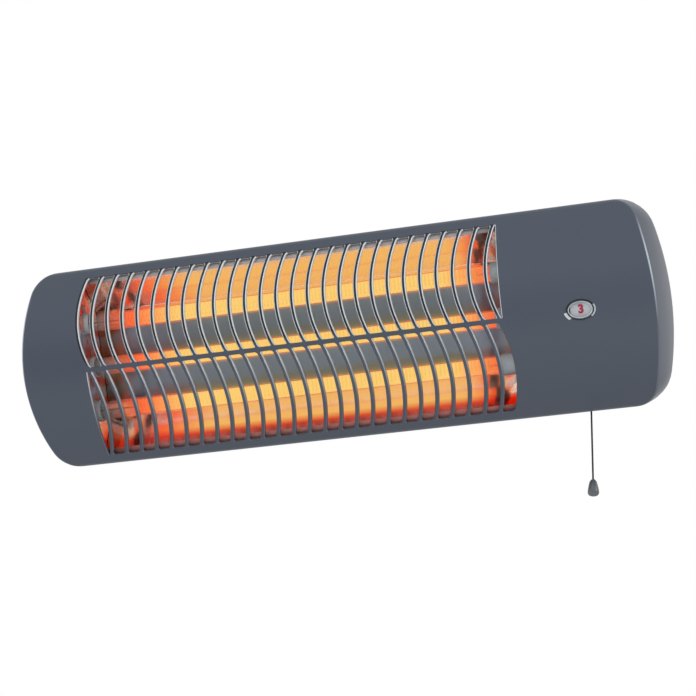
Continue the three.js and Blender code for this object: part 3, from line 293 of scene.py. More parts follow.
def rounded(profile, radius):
    """A polyline profile with its inner corners rounded by a radius, as far as they have room."""
    done = [profile[0]]
    for a, b, c in zip(profile, profile[1:], profile[2:]):
        a, b, c = Vector(a), Vector(b), Vector(c)
        reach = min(radius, ROUND_ROOM * (a - b).length, ROUND_ROOM * (c - b).length)
        p = b + (a - b).normalized() * reach
        q = b + (c - b).normalized() * reach
        for i in range(ROUND_STEPS + 1):
            t = i / ROUND_STEPS
            done.append(tuple((1 - t) ** 2 * p + 2 * t * (1 - t) * b + t * t * q))
    done.append(profile[-1])
    return done


# the knob's profile runs from its base up to its neck, and down the bore for the cord's end
CORD_IN_KNOB = 2.7
KNOB_TOP = CORD_IN_KNOB - CORD_FALL
KNOB_HEIGHT = 11.6
KNOB_BORE = 0.8
KNOB_BORE_DEPTH = 3.0
base = KNOB_TOP - KNOB_HEIGHT
bm = lathe(rounded([
    (0, base), (3.5, base), (3.9, base + 0.6), (4.0, base + 2.0), (3.7, base + 4.2),
    (3.15, base + 7.2), (2.6, base + 9.6), (1.7, base + 11.1), (0.85, KNOB_TOP),
    (KNOB_BORE, KNOB_TOP - 0.6), (KNOB_BORE, KNOB_TOP - KNOB_BORE_DEPTH),
    (0, KNOB_TOP - KNOB_BORE_DEPTH),
], 0.5), TURNED_SIDES)
knob = built("cord_knob", bm, PLUMB, knob_plastic, "cord_hang", ["cord_knob"])

cord = line_of("pull_cord", hanging, CORD_WIDTH / 2000, cord_yarn, "cord_hang", ["pull_cord"])

# ---- front cover ----------------------------------------------------------------------------
# Pressed sheet steel in satin anthracite: a barrel-bowed front whose two rows of S-curved slots
# have their edges turned in, and ends that lean out to the rim at the wall side. In the
# heater's own frame y is 0 at that rim, and z is 0 at mid height.
HALF_HEIGHT = 72.8
FRONT_DEPTH = 42.0
BARREL_RADIUS = 112.0
EDGE_RADIUS = 7.0
CREASE_HALF = 232.5
END_FLARE = 7.0
END_SAG = 12.25
CREASE_CORNER = 18.0
SHEET = 0.8
NEAR = 0.01

BARREL_Y = BARREL_RADIUS - FRONT_DEPTH
EDGE_Z = HALF_HEIGHT - EDGE_RADIUS
EDGE_Y = BARREL_Y - math.sqrt((BARREL_RADIUS - EDGE_RADIUS) ** 2 - EDGE_Z**2)
EDGE_START = EDGE_Z * BARREL_RADIUS / (BARREL_RADIUS - EDGE_RADIUS)
END_RADIUS = (HALF_HEIGHT**2 + END_SAG**2) / (2 * END_SAG)


def front_y(z):
    """Where the front's face stands at a height: on the barrel, or round its edge."""
    high = min(abs(z), HALF_HEIGHT)
    if high <= EDGE_START:
        return BARREL_Y - math.sqrt(BARREL_RADIUS**2 - high**2)
    return EDGE_Y - math.sqrt(max(EDGE_RADIUS**2 - (high - EDGE_Z) ** 2, 0))


def end_corner(half, corner):
    """An end outline's centres, of its long bow and its corner, and the angle where they meet."""
    bow_x = half - END_RADIUS
    corner_z = HALF_HEIGHT - corner
    corner_x = bow_x + math.sqrt((END_RADIUS - corner) ** 2 - corner_z**2)
    return bow_x, corner_x, corner_z, math.atan2(corner_z, corner_x - bow_x)


# the rim's corner is rounder than the crease's, with its centre straight behind that one's
RIM_HALF = CREASE_HALF + END_FLARE
crease_reach = (
    math.sqrt((END_RADIUS - CREASE_CORNER) ** 2 - (HALF_HEIGHT - CREASE_CORNER) ** 2) - END_FLARE
)
RIM_CORNER = (END_RADIUS**2 - HALF_HEIGHT**2 - crease_reach**2) / (2 * (END_RADIUS - HALF_HEIGHT))


def along_end(half, corner, share):
    """A point (x, z) on half an end outline: share 0 at mid height, 1 at the bow's end, 2 on top."""
    bow_x, corner_x, corner_z, meet = end_corner(half, corner)
    if share <= 1:
        angle = meet * share
        return bow_x + END_RADIUS * math.cos(angle), END_RADIUS * math.sin(angle)
    angle = meet + (math.pi / 2 - meet) * (share - 1)
    return corner_x + corner * math.cos(angle), corner_z + corner * math.sin(angle)


def share_at(z):
    """The share of the crease's outline that has a height."""
    _, _, corner_z, meet = end_corner(CREASE_HALF, CREASE_CORNER)
    high = min(abs(z), HALF_HEIGHT)
    if high <= END_RADIUS * math.sin(meet):
        return math.asin(high / END_RADIUS) / meet
    rise = min(1.0, (high - corner_z) / CREASE_CORNER)
    return 1 + (math.asin(rise) - meet) / (math.pi / 2 - meet)


def crease_x(z):
    """How far out the crease runs at a height."""
    return along_end(CREASE_HALF, CREASE_CORNER, share_at(z))[0]


# the grille: the grid's lines run along the outside of each slot's pressed edge, SLOT_LIP wide
SLOT_COUNT = 27
SLOT_LIP = 0.85
GRILLE_FROM_LEFT = 51.3
GRILLE_FROM_RIGHT = 108.5
GRILLE_START = GRILLE_FROM_LEFT - CREASE_HALF
SLOT_PITCH = (2 * CREASE_HALF - GRILLE_FROM_LEFT - GRILLE_FROM_RIGHT) / (SLOT_COUNT - 1)
BAR_WIDTH = 3.1
BAR_FLAT = BAR_WIDTH - 2 * SLOT_LIP
BAR_BOW = 6.9
LAND_HEIGHT = 4.0
LAND_HALF = LAND_HEIGHT / 2 - SLOT_LIP
ROW_TO_TOP = 7.2
ROW_TOP = HALF_HEIGHT - ROW_TO_TOP + SLOT_LIP
SLOT_CORNER = 1.3 + SLOT_LIP
CORNER_SHARE = 0.3
STRAIGHT_END = 3.2 - SLOT_LIP


def bow(z):
    """A bar's sideways bow at a height: left in the upper row, right in the lower."""
    if not LAND_HALF < abs(z) < ROW_TOP:
        return 0.0
    middle = (ROW_TOP + LAND_HALF) / 2
    half = (ROW_TOP - LAND_HALF) / 2
    return BAR_BOW * (1 - ((abs(z) - middle) / half) ** 2) * (-1 if z > 0 else 1)


def corner_inset(z, width):
    """How far a slot's side stands in at a height, because its corners are round."""
    low = max(min(abs(z) - LAND_HALF, ROW_TOP - abs(z)), 0.0) / SLOT_CORNER
    return min(SLOT_CORNER, CORNER_SHARE * width) * (1 - math.sqrt(1 - max(1 - low, 0.0) ** 2))


# the grid's levels, close together round the slots' corners and the front's rounded edge
ROW_STEPS = 26
EDGE_STEPS = 9
CORNER_RISE = (0.0, 0.12, 0.5, 1.0)
row_levels = [LAND_HALF + SLOT_CORNER * t for t in CORNER_RISE]
row_levels += [
    LAND_HALF + SLOT_CORNER + (ROW_TOP - LAND_HALF - 2 * SLOT_CORNER) * i / ROW_STEPS
    for i in range(1, ROW_STEPS)
]
row_levels += [ROW_TOP - SLOT_CORNER * t for t in reversed(CORNER_RISE)]
edge_start_angle = math.asin((EDGE_START - EDGE_Z) / EDGE_RADIUS)
edge_angles = [
    edge_start_angle * (1 - i / EDGE_STEPS) + math.pi / 2 * i / EDGE_STEPS
    for i in range(EDGE_STEPS + 1)
]
upper = row_levels + [(ROW_TOP + EDGE_START) / 2]
upper += [EDGE_Z + EDGE_RADIUS * math.sin(angle) for angle in edge_angles]
levels = [-z for z in reversed(upper)] + upper

# its columns: the plain sheet at both sides, and between them the lines along the bars
LEFT_COLUMNS = 9
RIGHT_COLUMNS = 20
bar_x = [GRILLE_START + SLOT_PITCH * k for k in range(SLOT_COUNT)]
edge_lines = [bar_x[0] - STRAIGHT_END]
for x in bar_x:
    edge_lines += [x - BAR_FLAT / 2, x + BAR_FLAT / 2]
edge_lines += [bar_x[-1] + STRAIGHT_END]
last_line = len(edge_lines) - 1


def is_slot(column, z):
    """True if the cells between edge lines column and column + 1 are open in that row."""
    if not 0 <= column < last_line or not LAND_HALF < abs(z) < ROW_TOP:
        return False
    if column == 0:
        return z < 0
    if column == last_line - 1:
        return z > 0
    return column % 2 == 0


def line_x(i, z):
    """Where edge line i runs at a height, with the bars' bow and the slots' round corners."""
    row = 1 if z > 0 else -1
    straight = (i == last_line and row > 0) or (i == 0 and row < 0)
    x = edge_lines[i] + (0 if straight else bow(z))
    inside = row * (LAND_HALF + ROW_TOP) / 2
    for column, toward in ((i, 1), (i - 1, -1)):
        if is_slot(column, inside):
            width = edge_lines[column + 1] - edge_lines[column]
            x += toward * corner_inset(z, width)
    return x


def columns_at(z):
    """All the grid's x places at a height, from the left crease to the right one."""
    lines = [line_x(i, z) for i in range(len(edge_lines))]
    reach = crease_x(z)
    left = [-reach + (lines[0] + reach) * i / LEFT_COLUMNS for i in range(LEFT_COLUMNS)]
    right = [lines[-1] + (reach - lines[-1]) * i / RIGHT_COLUMNS for i in range(1, RIGHT_COLUMNS + 1)]
    return left + lines + right


across = LEFT_COLUMNS + last_line + RIGHT_COLUMNS
bm = bmesh.new()
bmesh.ops.create_grid(bm, x_segments=across, y_segments=len(levels) - 1, size=1)
grid = {}
for vert in bm.verts:
    i = round((vert.co.x + 1) / 2 * across)
    j = round((vert.co.y + 1) / 2 * (len(levels) - 1))
    grid[i, j] = vert
for (i, j), vert in grid.items():
    vert.co = (columns_at(levels[j])[i], front_y(levels[j]), levels[j])

# a face's material: 0 satin paint, 1 painted highlight on a pressed edge, 2 painted highlight on a
# crease, 3 painted shade on the upper row's bars
slots = []
for j in range(len(levels) - 1):
    mid = (levels[j] + levels[j + 1]) / 2
    for i in range(last_line):
        at = i + LEFT_COLUMNS
        cell = set(grid[at, j].link_faces) & set(grid[at + 1, j + 1].link_faces)
        if is_slot(i, mid):
            slots += list(cell)
        elif 0 < i < last_line - 1 and LAND_HALF < mid < ROW_TOP:
            # the upper row's bars take the painted shade
            for face in cell:
                face.material_index = 3
rim_now = [e for e in bm.edges if e.is_boundary]
bm.normal_update()

# each slot's edge is turned in by five rings, which go in and back by these amounts. A highlight
# is painted where a ring but the first faces right, where one of the upper row's first three faces
# left, and where the last one faces down
LIP_RINGS = ((0.14, 0.03), (0.21, 0.12), (0.25, 0.25), (0.20, 0.40), (0.05, 1.2))
slots = bmesh.ops.dissolve_faces(bm, faces=slots)["region"]
for step, (shrink, sink) in enumerate(LIP_RINGS):
    ring = bmesh.ops.inset_individual(bm, faces=slots, thickness=shrink, depth=-sink,
                                      use_even_offset=True)["faces"]
    for face in ring:
        face.normal_update()
        in_upper = face.calc_center_median().z > 0
        right_lip = face.normal.x > 0.4 and step > 0
        left_lip = face.normal.x < -0.4 and in_upper and step < 3
        top_lip = face.normal.z < -0.6 and step == len(LIP_RINGS) - 1
        face.material_index = 1 if right_lip or left_lip or top_lip else 0
bmesh.ops.delete(bm, geom=slots, context="FACES")

# the window's oval opening, with a shallow dish pressed round it
WINDOW = Vector((180.3, 0.9))
WINDOW_PATCH = Vector((15, 13))
LENS_HALF = Vector((8.5, 5.7))
BEZEL_WALL = 0.9
DISH_WIDTH = 1.3
MOUTH_FIT = 0.1
DISH = LENS_HALF + Vector((BEZEL_WALL + DISH_WIDTH, BEZEL_WALL + DISH_WIDTH))
MOUTH = LENS_HALF + Vector((BEZEL_WALL + MOUTH_FIT, BEZEL_WALL + MOUTH_FIT))


def oval(bm, edges, half, depth):
    """Draws a loop of edges in to an oval about the window, some way behind the front's face."""
    made = bmesh.ops.extrude_edge_only(bm, edges=edges)["geom"]
    for vert in (g for g in made if isinstance(g, bmesh.types.BMVert)):
        flat = Vector((vert.co.x, vert.co.z)) - WINDOW
        angle = math.atan2(flat.y / half.y, flat.x / half.x)
        spot = WINDOW + Vector((half.x * math.cos(angle), half.y * math.sin(angle)))
        vert.co = (spot.x, front_y(spot.y) + depth, spot.y)
    return [g for g in made if isinstance(g, bmesh.types.BMEdge) and g.is_boundary]


# the dish's edge has a highlight painted on between these angles. Its rings run on the flat,
# along the edge, down the slope and at the mouth: each one's half size, how far back it lies, and
# its arcs of painted highlight
PAINTED_HIGHLIGHT_ARCS = ((-0.62, 0.3), (3.2, 3.75))
DISH_RINGS = (
    (DISH + Vector((0.9, 0.9)), 0.0, ()),
    (DISH, 0.0, PAINTED_HIGHLIGHT_ARCS[1:]),
    (DISH - Vector((0.45, 0.45)), 0.35, PAINTED_HIGHLIGHT_ARCS),
    (MOUTH, 0.5, ()),
)
patch = [
    f for f in bm.faces
    if abs(f.calc_center_median().x - WINDOW.x) < WINDOW_PATCH.x
    and abs(f.calc_center_median().z - WINDOW.y) < WINDOW_PATCH.y
]
around = list(dict.fromkeys(e for f in patch for e in f.edges))
bmesh.ops.delete(bm, geom=patch, context="FACES")
loop = [e for e in around if e.is_valid and e.is_boundary]
for half, depth, arcs in DISH_RINGS:
    loop = oval(bm, loop, half, depth)
    for face in {f for e in loop for f in e.link_faces}:
        spot = face.calc_center_median()
        turn = math.atan2(spot.z - WINDOW.y, spot.x - WINDOW.x)
        # faces in the arcs take the painted highlight, material 1
        if any(start < turn < end or start < turn + 2 * math.pi < end for start, end in arcs):
            face.material_index = 1

# the ends and the flat top and bottom, drawn back from the crease to the rim in a few steps
FLANK_STEPS = (0.08, 0.3, 0.5, 0.7, 0.9, 1.0)
FLANK_BULGE = 0.7
where_from = {v: v.co.copy() for e in rim_now for v in e.verts}
crease_edges = [
    e for e in rim_now
    if all(abs(abs(v.co.x) - crease_x(v.co.z)) < NEAR for v in e.verts)
    and not all(abs(v.co.z) > HALF_HEIGHT - NEAR for v in e.verts)
]
for back in FLANK_STEPS:
    before = {tuple(round(c, 4) for c in v.co): start for v, start in where_from.items()}
    made = bmesh.ops.extrude_edge_only(bm, edges=rim_now)["geom"]
    rim_now = [g for g in made if isinstance(g, bmesh.types.BMEdge) and g.is_boundary]
    where_from = {}
    lean = back + FLANK_BULGE * back * (1 - back)
    for vert in (g for g in made if isinstance(g, bmesh.types.BMVert)):
        start = before[tuple(round(c, 4) for c in vert.co)]
        where_from[vert] = start
        if abs(start.z) > HALF_HEIGHT - NEAR:
            vert.co = (start.x, EDGE_Y * (1 - back), start.z)
            continue
        share = share_at(start.z)
        crease_at = Vector(along_end(CREASE_HALF, CREASE_CORNER, share))
        rim_at = Vector(along_end(RIM_HALF, RIM_CORNER, share))
        x, z = crease_at.lerp(rim_at, lean)
        side = 1 if start.x > 0 else -1
        up = 1 if start.z > 0 else -1
        vert.co = (side * x, front_y(z) * (1 - back), up * z)

# the hole in the underside for the cord's guide
GUIDE_HOLE = 3.7
GUIDE_PATCH = Vector((7.0, 4.9))
under = [
    f for f in bm.faces
    if f.calc_center_median().z < -HALF_HEIGHT + NEAR
    and abs(f.calc_center_median().x - CORD_X) < GUIDE_PATCH.x
    and abs(f.calc_center_median().y - CORD_Y) < GUIDE_PATCH.y
]
around = list(dict.fromkeys(e for f in under for e in f.edges))
bmesh.ops.delete(bm, geom=under, context="FACES")
made = bmesh.ops.extrude_edge_only(bm, edges=[e for e in around if e.is_valid and e.is_boundary])
for vert in (g for g in made["geom"] if isinstance(g, bmesh.types.BMVert)):
    turn = math.atan2(vert.co.y - CORD_Y, vert.co.x - CORD_X)
    vert.co = (CORD_X + GUIDE_HOLE * math.cos(turn), CORD_Y + GUIDE_HOLE * math.sin(turn), vert.co.z)

# the crease's bevel takes material 2, the painted highlight along the creases
CREASE_BEVEL = 0.8
bmesh.ops.recalc_face_normals(bm, faces=bm.faces)
bmesh.ops.bevel(bm, geom=crease_edges, affect="EDGES", offset=CREASE_BEVEL, segments=3, profile=0.5,
                material=2, offset_type="OFFSET", clamp_overlap=True)

# satin paint on steel: even, half matt, with a drift of tone over 110 mm and a faint orange peel
# about 1.5 mm across, drawn coarser than real so that it shows as a break-up of the highlights
satin_paint, tree, out = blank("satin_paint")
place = add(tree, "TexCoord")
peel = add(tree, "TexNoise", {"Vector": place.outputs["Object"], "Scale": 700.0, "Detail": 2.0})
mottle = add(tree, "TexNoise", {"Vector": place.outputs["Object"], "Scale": 9.0, "Detail": 2.0})
tone = add(tree, "MixRGB", {"Fac": mottle.outputs["Fac"], "Color1": linear("#444a55"),
                            "Color2": linear("#494f5a")})
gloss = add(tree, "MapRange", {"Value": mottle.outputs["Fac"], "To Min": 0.34, "To Max": 0.40})
relief = add(tree, "Bump", {"Height": peel.outputs["Fac"], "Strength": 0.12, "Distance": 0.0002})
paint = add(tree, "BsdfPrincipled", {"Base Color": tone.outputs[0], "Roughness": gloss.outputs[0],
                                     "Specular IOR Level": 0.3, "Normal": relief.outputs[0]})
tree.links.new(paint.outputs[0], out.inputs["Surface"])


def body_height(tree):
    """A socket with the height in metres along the tilted body, 0 at its middle."""
    upright = (0.0, -math.sin(TILT), math.cos(TILT))
    place = add(tree, "TexCoord")
    along = add(tree, "VectorMath", {0: place.outputs["Object"], 1: upright}, operation="DOT_PRODUCT")
    return add(tree, "Math", {0: along.outputs["Value"], 1: BODY.translation.dot(Vector(upright))},
               operation="SUBTRACT").outputs[0]


# the same paint, glossier, with a highlight painted pale on the pressed edges of the slots; the
# painted highlight fades to dark on the edges of the lower row, towards the bottom. Its gloss
# varies over 17 mm
edge_highlight_paint, tree, out = blank("painted_highlight_on_edges")
place = add(tree, "TexCoord")
wear = add(tree, "TexNoise", {"Vector": place.outputs["Object"], "Scale": 60.0, "Detail": 3.0})
highlight_share = add(tree, "MapRange", {"Value": body_height(tree), "From Min": -0.045, "From Max": 0.004})
tone = add(tree, "MixRGB", {"Fac": highlight_share.outputs[0], "Color1": linear("#5a616c"),
                            "Color2": linear("#ccd3d8")})
gloss = add(tree, "MapRange", {"Value": wear.outputs["Fac"], "To Min": 0.22, "To Max": 0.36})
skin = add(tree, "BsdfPrincipled", {"Base Color": tone.outputs[0], "Roughness": gloss.outputs[0]})
tree.links.new(skin.outputs[0], out.inputs["Surface"])

# along the creases a highlight is painted on, pale only on the upper half and fading above and below
crease_highlight_paint, tree, out = blank("painted_highlight_on_creases")
height = body_height(tree)
rise = add(tree, "MapRange", {"Value": height, "From Min": -0.014, "From Max": 0.024})
fade = add(tree, "MapRange", {"Value": height, "From Min": 0.060, "From Max": 0.036})
highlight_share = add(tree, "Math", {0: rise.outputs[0], 1: fade.outputs[0]}, operation="MULTIPLY")
tone = add(tree, "MixRGB", {"Fac": highlight_share.outputs[0], "Color1": linear("#525964"),
                            "Color2": linear("#a4adb6")})
skin = add(tree, "BsdfPrincipled", {"Base Color": tone.outputs[0], "Roughness": 0.3})
tree.links.new(skin.outputs[0], out.inputs["Surface"])

# on the faces of the upper row's bars a painted shade darkens the paint
painted_shade_on_bars, tree, out = blank("painted_shade_on_bars")
place = add(tree, "TexCoord")
peel = add(tree, "TexNoise", {"Vector": place.outputs["Object"], "Scale": 700.0, "Detail": 2.0})
relief = add(tree, "Bump", {"Height": peel.outputs["Fac"], "Strength": 0.12, "Distance": 0.0002})
bar_shade_share = add(tree, "MapRange", {"Value": body_height(tree), "From Min": 0.001, "From Max": 0.007})
tone = add(tree, "MixRGB", {"Fac": bar_shade_share.outputs[0], "Color1": linear("#4a505b"),
                            "Color2": linear("#1b2024")})
skin = add(tree, "BsdfPrincipled", {"Base Color": tone.outputs[0], "Roughness": 0.45,
                                    "Specular IOR Level": 0.3, "Normal": relief.outputs[0]})
tree.links.new(skin.outputs[0], out.inputs["Surface"])

cover = built("front_cover", bm, BODY, satin_paint, "heater", ["front_cover"])
for finish in (edge_highlight_paint, crease_highlight_paint, painted_shade_on_bars):
    cover.data.materials.append(finish)
sheet = cover.modifiers.new("sheet", "SOLIDIFY")
sheet.thickness = SHEET / 1000
sheet.offset = -1
even = cover.modifiers.new("even", "WEIGHTED_NORMAL")
even.keep_sharp = False

# ---- window ---------------------------------------------------------------------------------
# A clear domed styrene lens in a thin black bezel, over the drum that shows the heat setting.
# Both are moulded ovals, pressed into the dish of the front cover from the front.
OVAL_SIDES = 64
BEZEL_PROUD = 0.4
BEZEL_DEPTH = 3.0
BEZEL_INSIDE = 0.95
LENS_SUNK = 0.5
LENS_DEPTH = 2.2
DOME_EDGE = 0.94

# moulded black ABS: half matt, with a spark-eroded grain drawn 1 mm coarse so that it shows
black_plastic, tree, out = blank("black_abs")
place = add(tree, "TexCoord")
grain = add(tree, "TexNoise", {"Vector": place.outputs["Object"], "Scale": 900.0, "Detail": 4.0})
tone = add(tree, "MixRGB", {"Fac": grain.outputs["Fac"], "Color1": linear("#1b1d20"),
                            "Color2": linear("#272a2e")})
relief = add(tree, "Bump", {"Height": grain.outputs["Fac"], "Strength": 0.3, "Distance": 0.0002})
shell = add(tree, "BsdfPrincipled", {"Base Color": tone.outputs[0], "Roughness": 0.5,
                                     "Normal": relief.outputs[0]})
tree.links.new(shell.outputs[0], out.inputs["Surface"])

# the bezel is turned with a radius of 1 and drawn out to its oval
BEZEL_FACE = -FRONT_DEPTH - BEZEL_PROUD
outer = LENS_HALF + Vector((BEZEL_WALL, BEZEL_WALL))
bm = lathe(rounded([
    (1.0, BEZEL_DEPTH), (1.0, 0.0), (0.97, 0.0), (BEZEL_INSIDE, 0.3), (BEZEL_INSIDE, BEZEL_DEPTH),
    (1.0, BEZEL_DEPTH),
], 0.05), OVAL_SIDES, "Y")
for vert in bm.verts:
    vert.co.x *= outer.x
    vert.co.z *= outer.y
bmesh.ops.translate(bm, verts=bm.verts, vec=(WINDOW.x, BEZEL_FACE, WINDOW.y))
built("window_bezel", bm, BODY, black_plastic, "heater", ["window_bezel"])

# clear moulded styrene: glossy, see-through, and hazed a little by the heat over 5 mm
lens_finish, tree, out = blank("clear_styrene")
place = add(tree, "TexCoord")
haze = add(tree, "TexNoise", {"Vector": place.outputs["Object"], "Scale": 180.0})
rough = add(tree, "MapRange", {"Value": haze.outputs["Fac"], "To Min": 0.08, "To Max": 0.16})
glass = add(tree, "BsdfPrincipled", {"Base Color": linear("#aab4ba"), "Roughness": rough.outputs[0],
                                     "Alpha": 0.04, "IOR": 1.59})
tree.links.new(glass.outputs[0], out.inputs["Surface"])

# its moulded rim is frosted: white and satin, in specks of 1.5 mm, coarser than real to show
rim_plastic = clouded("frosted_styrene", 700.0, "#dfe4e7", "#f2f5f6",
                      {"Roughness": 0.3, "IOR": 1.59})

# the lens is turned the same way, with its rim outside the foot of its dome
bm = lathe([(0.0, LENS_DEPTH), (1.0, LENS_DEPTH), (1.0, 0.1), (0.99, 0.0), (0.95, 0.0),
            (DOME_EDGE, 0.1)]
           + [(DOME_EDGE * math.cos(a), 0.6 - 0.85 * math.sin(a)) for a in (0.6, 0.9, 1.2, 1.4)]
           + [(0.0, -0.26)], OVAL_SIDES, "Y")
for face in bm.faces:
    middle = face.calc_center_median()
    on_rim = math.hypot(middle.x, middle.z) > DOME_EDGE + 0.005 and middle.y < 1
    face.material_index = 1 if on_rim else 0
for vert in bm.verts:
    vert.co.x *= LENS_HALF.x
    vert.co.z *= LENS_HALF.y
bmesh.ops.translate(bm, verts=bm.verts, vec=(WINDOW.x, BEZEL_FACE + LENS_SUNK, WINDOW.y))
window = built("window_lens", bm, BODY, lens_finish, "heater", ["window_lens"])
window.data.materials.append(rim_plastic)

# ---- number drum ----------------------------------------------------------------------------
# A moulded white drum, stepped round by the cord's ratchet, with the numbers of its settings
# printed on its rim in red, twice round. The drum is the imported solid, and each number is a
# piece of its own, bent to it.
DRUM_Y = -24.0
DRUM_RADIUS = 14.0
PRINTS = 8
NUMBERS = 4
SHOWN = 3
DIGIT_HEIGHT = 5.6
DIGIT_IN_FONT = 0.70
DIGIT_BANDS = 10
PRINT_PROUD = 0.06
PRINT_BOLD = 0.45

# moulded white ABS: half matt, greyed by the shade inside the heater and clouded over 3 mm
drum_finish = clouded("white_abs", 300.0, "#b4babf", "#c6cbcf", {"Roughness": 0.4})

# pad-printed red ink: matt, its cover uneven over 0.4 mm
red_print = clouded("red_print", 2500.0, "#9c0030", "#b8003c",
                    {"Roughness": 0.6, "Specular IOR Level": 0.1})

for turn in range(PRINTS):
    letter = bpy.data.curves.new("digit", "FONT")
    letter.body = str((SHOWN + turn) % NUMBERS)
    letter.size = DIGIT_HEIGHT / DIGIT_IN_FONT
    letter.extrude = PRINT_PROUD
    letter.offset = PRINT_BOLD
    letter.align_x = "CENTER"
    letter.align_y = "CENTER"
    holder = bpy.data.objects.new("digit", letter)
    bpy.context.scene.collection.objects.link(holder)
    shape = bpy.data.meshes.new_from_object(holder)
    bpy.data.objects.remove(holder)
    bm = bmesh.new()
    bm.from_mesh(shape)
    bpy.data.meshes.remove(shape)
    for cut in range(-DIGIT_BANDS // 2, DIGIT_BANDS // 2 + 1):
        bmesh.ops.bisect_plane(bm, geom=bm.verts[:] + bm.edges[:] + bm.faces[:],
                               plane_co=(0, DIGIT_HEIGHT * cut / DIGIT_BANDS, 0), plane_no=(0, 1, 0))
    for vert in bm.verts:
        angle = vert.co.y / DRUM_RADIUS
        out_to = DRUM_RADIUS + vert.co.z
        vert.co = (WINDOW.x + vert.co.x, DRUM_Y - out_to * math.cos(angle),
                   WINDOW.y + out_to * math.sin(angle))
    bmesh.ops.rotate(bm, verts=bm.verts, cent=(WINDOW.x, DRUM_Y, WINDOW.y),
                     matrix=Matrix.Rotation(2 * math.pi * turn / PRINTS, 3, "X"))
    built(f"drum_digit_{turn}", bm, BODY, red_print, "drum", ())


def finish_node(node, finish):
    """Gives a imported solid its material, and breaks its edges with a small bevel."""
    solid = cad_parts[node]
    solid.data.materials.clear()
    solid.data.materials.append(finish)
    for face in solid.data.polygons:
        face.material_index = 0
        face.use_smooth = True
    weld = solid.modifiers.new("weld", "WELD")
    weld.merge_threshold = 1e-5
    arris = solid.modifiers.new("arris", "BEVEL")
    arris.width = 0.0003
    arris.segments = 2
    arris.limit_method = "ANGLE"
    arris.angle_limit = math.radians(35)
    even = solid.modifiers.new("even", "WEIGHTED_NORMAL")
    even.keep_sharp = False
    even.weight = 90


finish_node("number_drum", drum_finish)

# ---- reflector ------------------------------------------------------------------------------
# One sheet of bright aluminium folded to a trough behind the tubes, its two turned lips left
# unpolished, and an end plate of the same sheet at each end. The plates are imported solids.
PAN_START = -186.5
PAN_LENGTH = 315.0
PAN_STEPS = 8
PAN_FRONT_Y = -15.0
PAN_BACK_Y = 3.0
PAN_FRONT_HALF = 62.0
PAN_BACK_HALF = 40.0
PAN_LIP = 3.5
PAN_FOLD = 0.9
DULLED_HALF = 29.0

# bright-rolled aluminium: it mirrors the tubes a little softly, in waves 17 mm across and 125 mm
# along, and a red glow is painted along its lowest edge, as the lower tube's reflection there
bright_aluminium, tree, out = blank("bright_aluminium")
place = add(tree, "TexCoord")
rolled = add(tree, "Mapping", {"Vector": place.outputs["Object"], "Scale": (8.0, 60.0, 60.0)})
wave = add(tree, "TexNoise", {"Vector": rolled.outputs[0], "Scale": 1.0, "Detail": 2.0})
gloss = add(tree, "MapRange", {"Value": wave.outputs["Fac"], "To Min": 0.13, "To Max": 0.19})
relief = add(tree, "Bump", {"Height": wave.outputs["Fac"], "Strength": 0.12, "Distance": 0.002})
# the red glow painted along the lowest edge, standing in for the tube's reflection
low = add(tree, "MapRange", {"Value": body_height(tree), "From Min": -0.053, "From Max": -0.0575})
tone = add(tree, "MixRGB", {"Fac": low.outputs[0], "Color1": linear("#f8e4dc"),
                            "Color2": linear("#e0685c")})
sheet = add(tree, "BsdfPrincipled", {"Base Color": tone.outputs[0], "Metallic": 1.0,
                                     "Roughness": gloss.outputs[0], "Normal": relief.outputs[0]})
tree.links.new(sheet.outputs[0], out.inputs["Surface"])

# the same sheet unpolished, on the pan's turned lips: grey and satin, with the roller's grain
# 1 mm wide, coarser than real so that it shows; it is tinted red-brown towards the bottom, so the
# lower lip is red-brown
satin_aluminium, tree, out = blank("satin_aluminium")
place = add(tree, "TexCoord")
rolled = add(tree, "Mapping", {"Vector": place.outputs["Object"], "Scale": (12.0, 900.0, 900.0)})
grain = add(tree, "TexNoise", {"Vector": rolled.outputs[0], "Scale": 1.0, "Detail": 3.0})
tone = add(tree, "MixRGB", {"Fac": grain.outputs["Fac"], "Color1": linear("#a7a5a8"),
                            "Color2": linear("#bdbcbe")})
warm = add(tree, "MapRange", {"Value": body_height(tree), "From Min": -0.030, "From Max": 0.0})
tone = add(tree, "MixRGB", {"Fac": warm.outputs[0], "Color1": linear("#a8706c"),
                            "Color2": tone.outputs[0]})
sheet = add(tree, "BsdfPrincipled", {"Base Color": tone.outputs[0], "Metallic": 0.3,
                                     "Roughness": 0.55})
tree.links.new(sheet.outputs[0], out.inputs["Surface"])

# and on the pan's flat back, which the heat has dulled to a bluish satin
dulled_aluminium, tree, out = blank("heat_dulled_aluminium")
place = add(tree, "TexCoord")
rolled = add(tree, "Mapping", {"Vector": place.outputs["Object"], "Scale": (8.0, 60.0, 60.0)})
wave = add(tree, "TexNoise", {"Vector": rolled.outputs[0], "Scale": 1.0, "Detail": 2.0})
gloss = add(tree, "MapRange", {"Value": wave.outputs["Fac"], "To Min": 0.30, "To Max": 0.38})
sheet = add(tree, "BsdfPrincipled", {"Base Color": linear("#9dadbd"), "Metallic": 1.0,
                                     "Roughness": gloss.outputs[0]})
tree.links.new(sheet.outputs[0], out.inputs["Surface"])

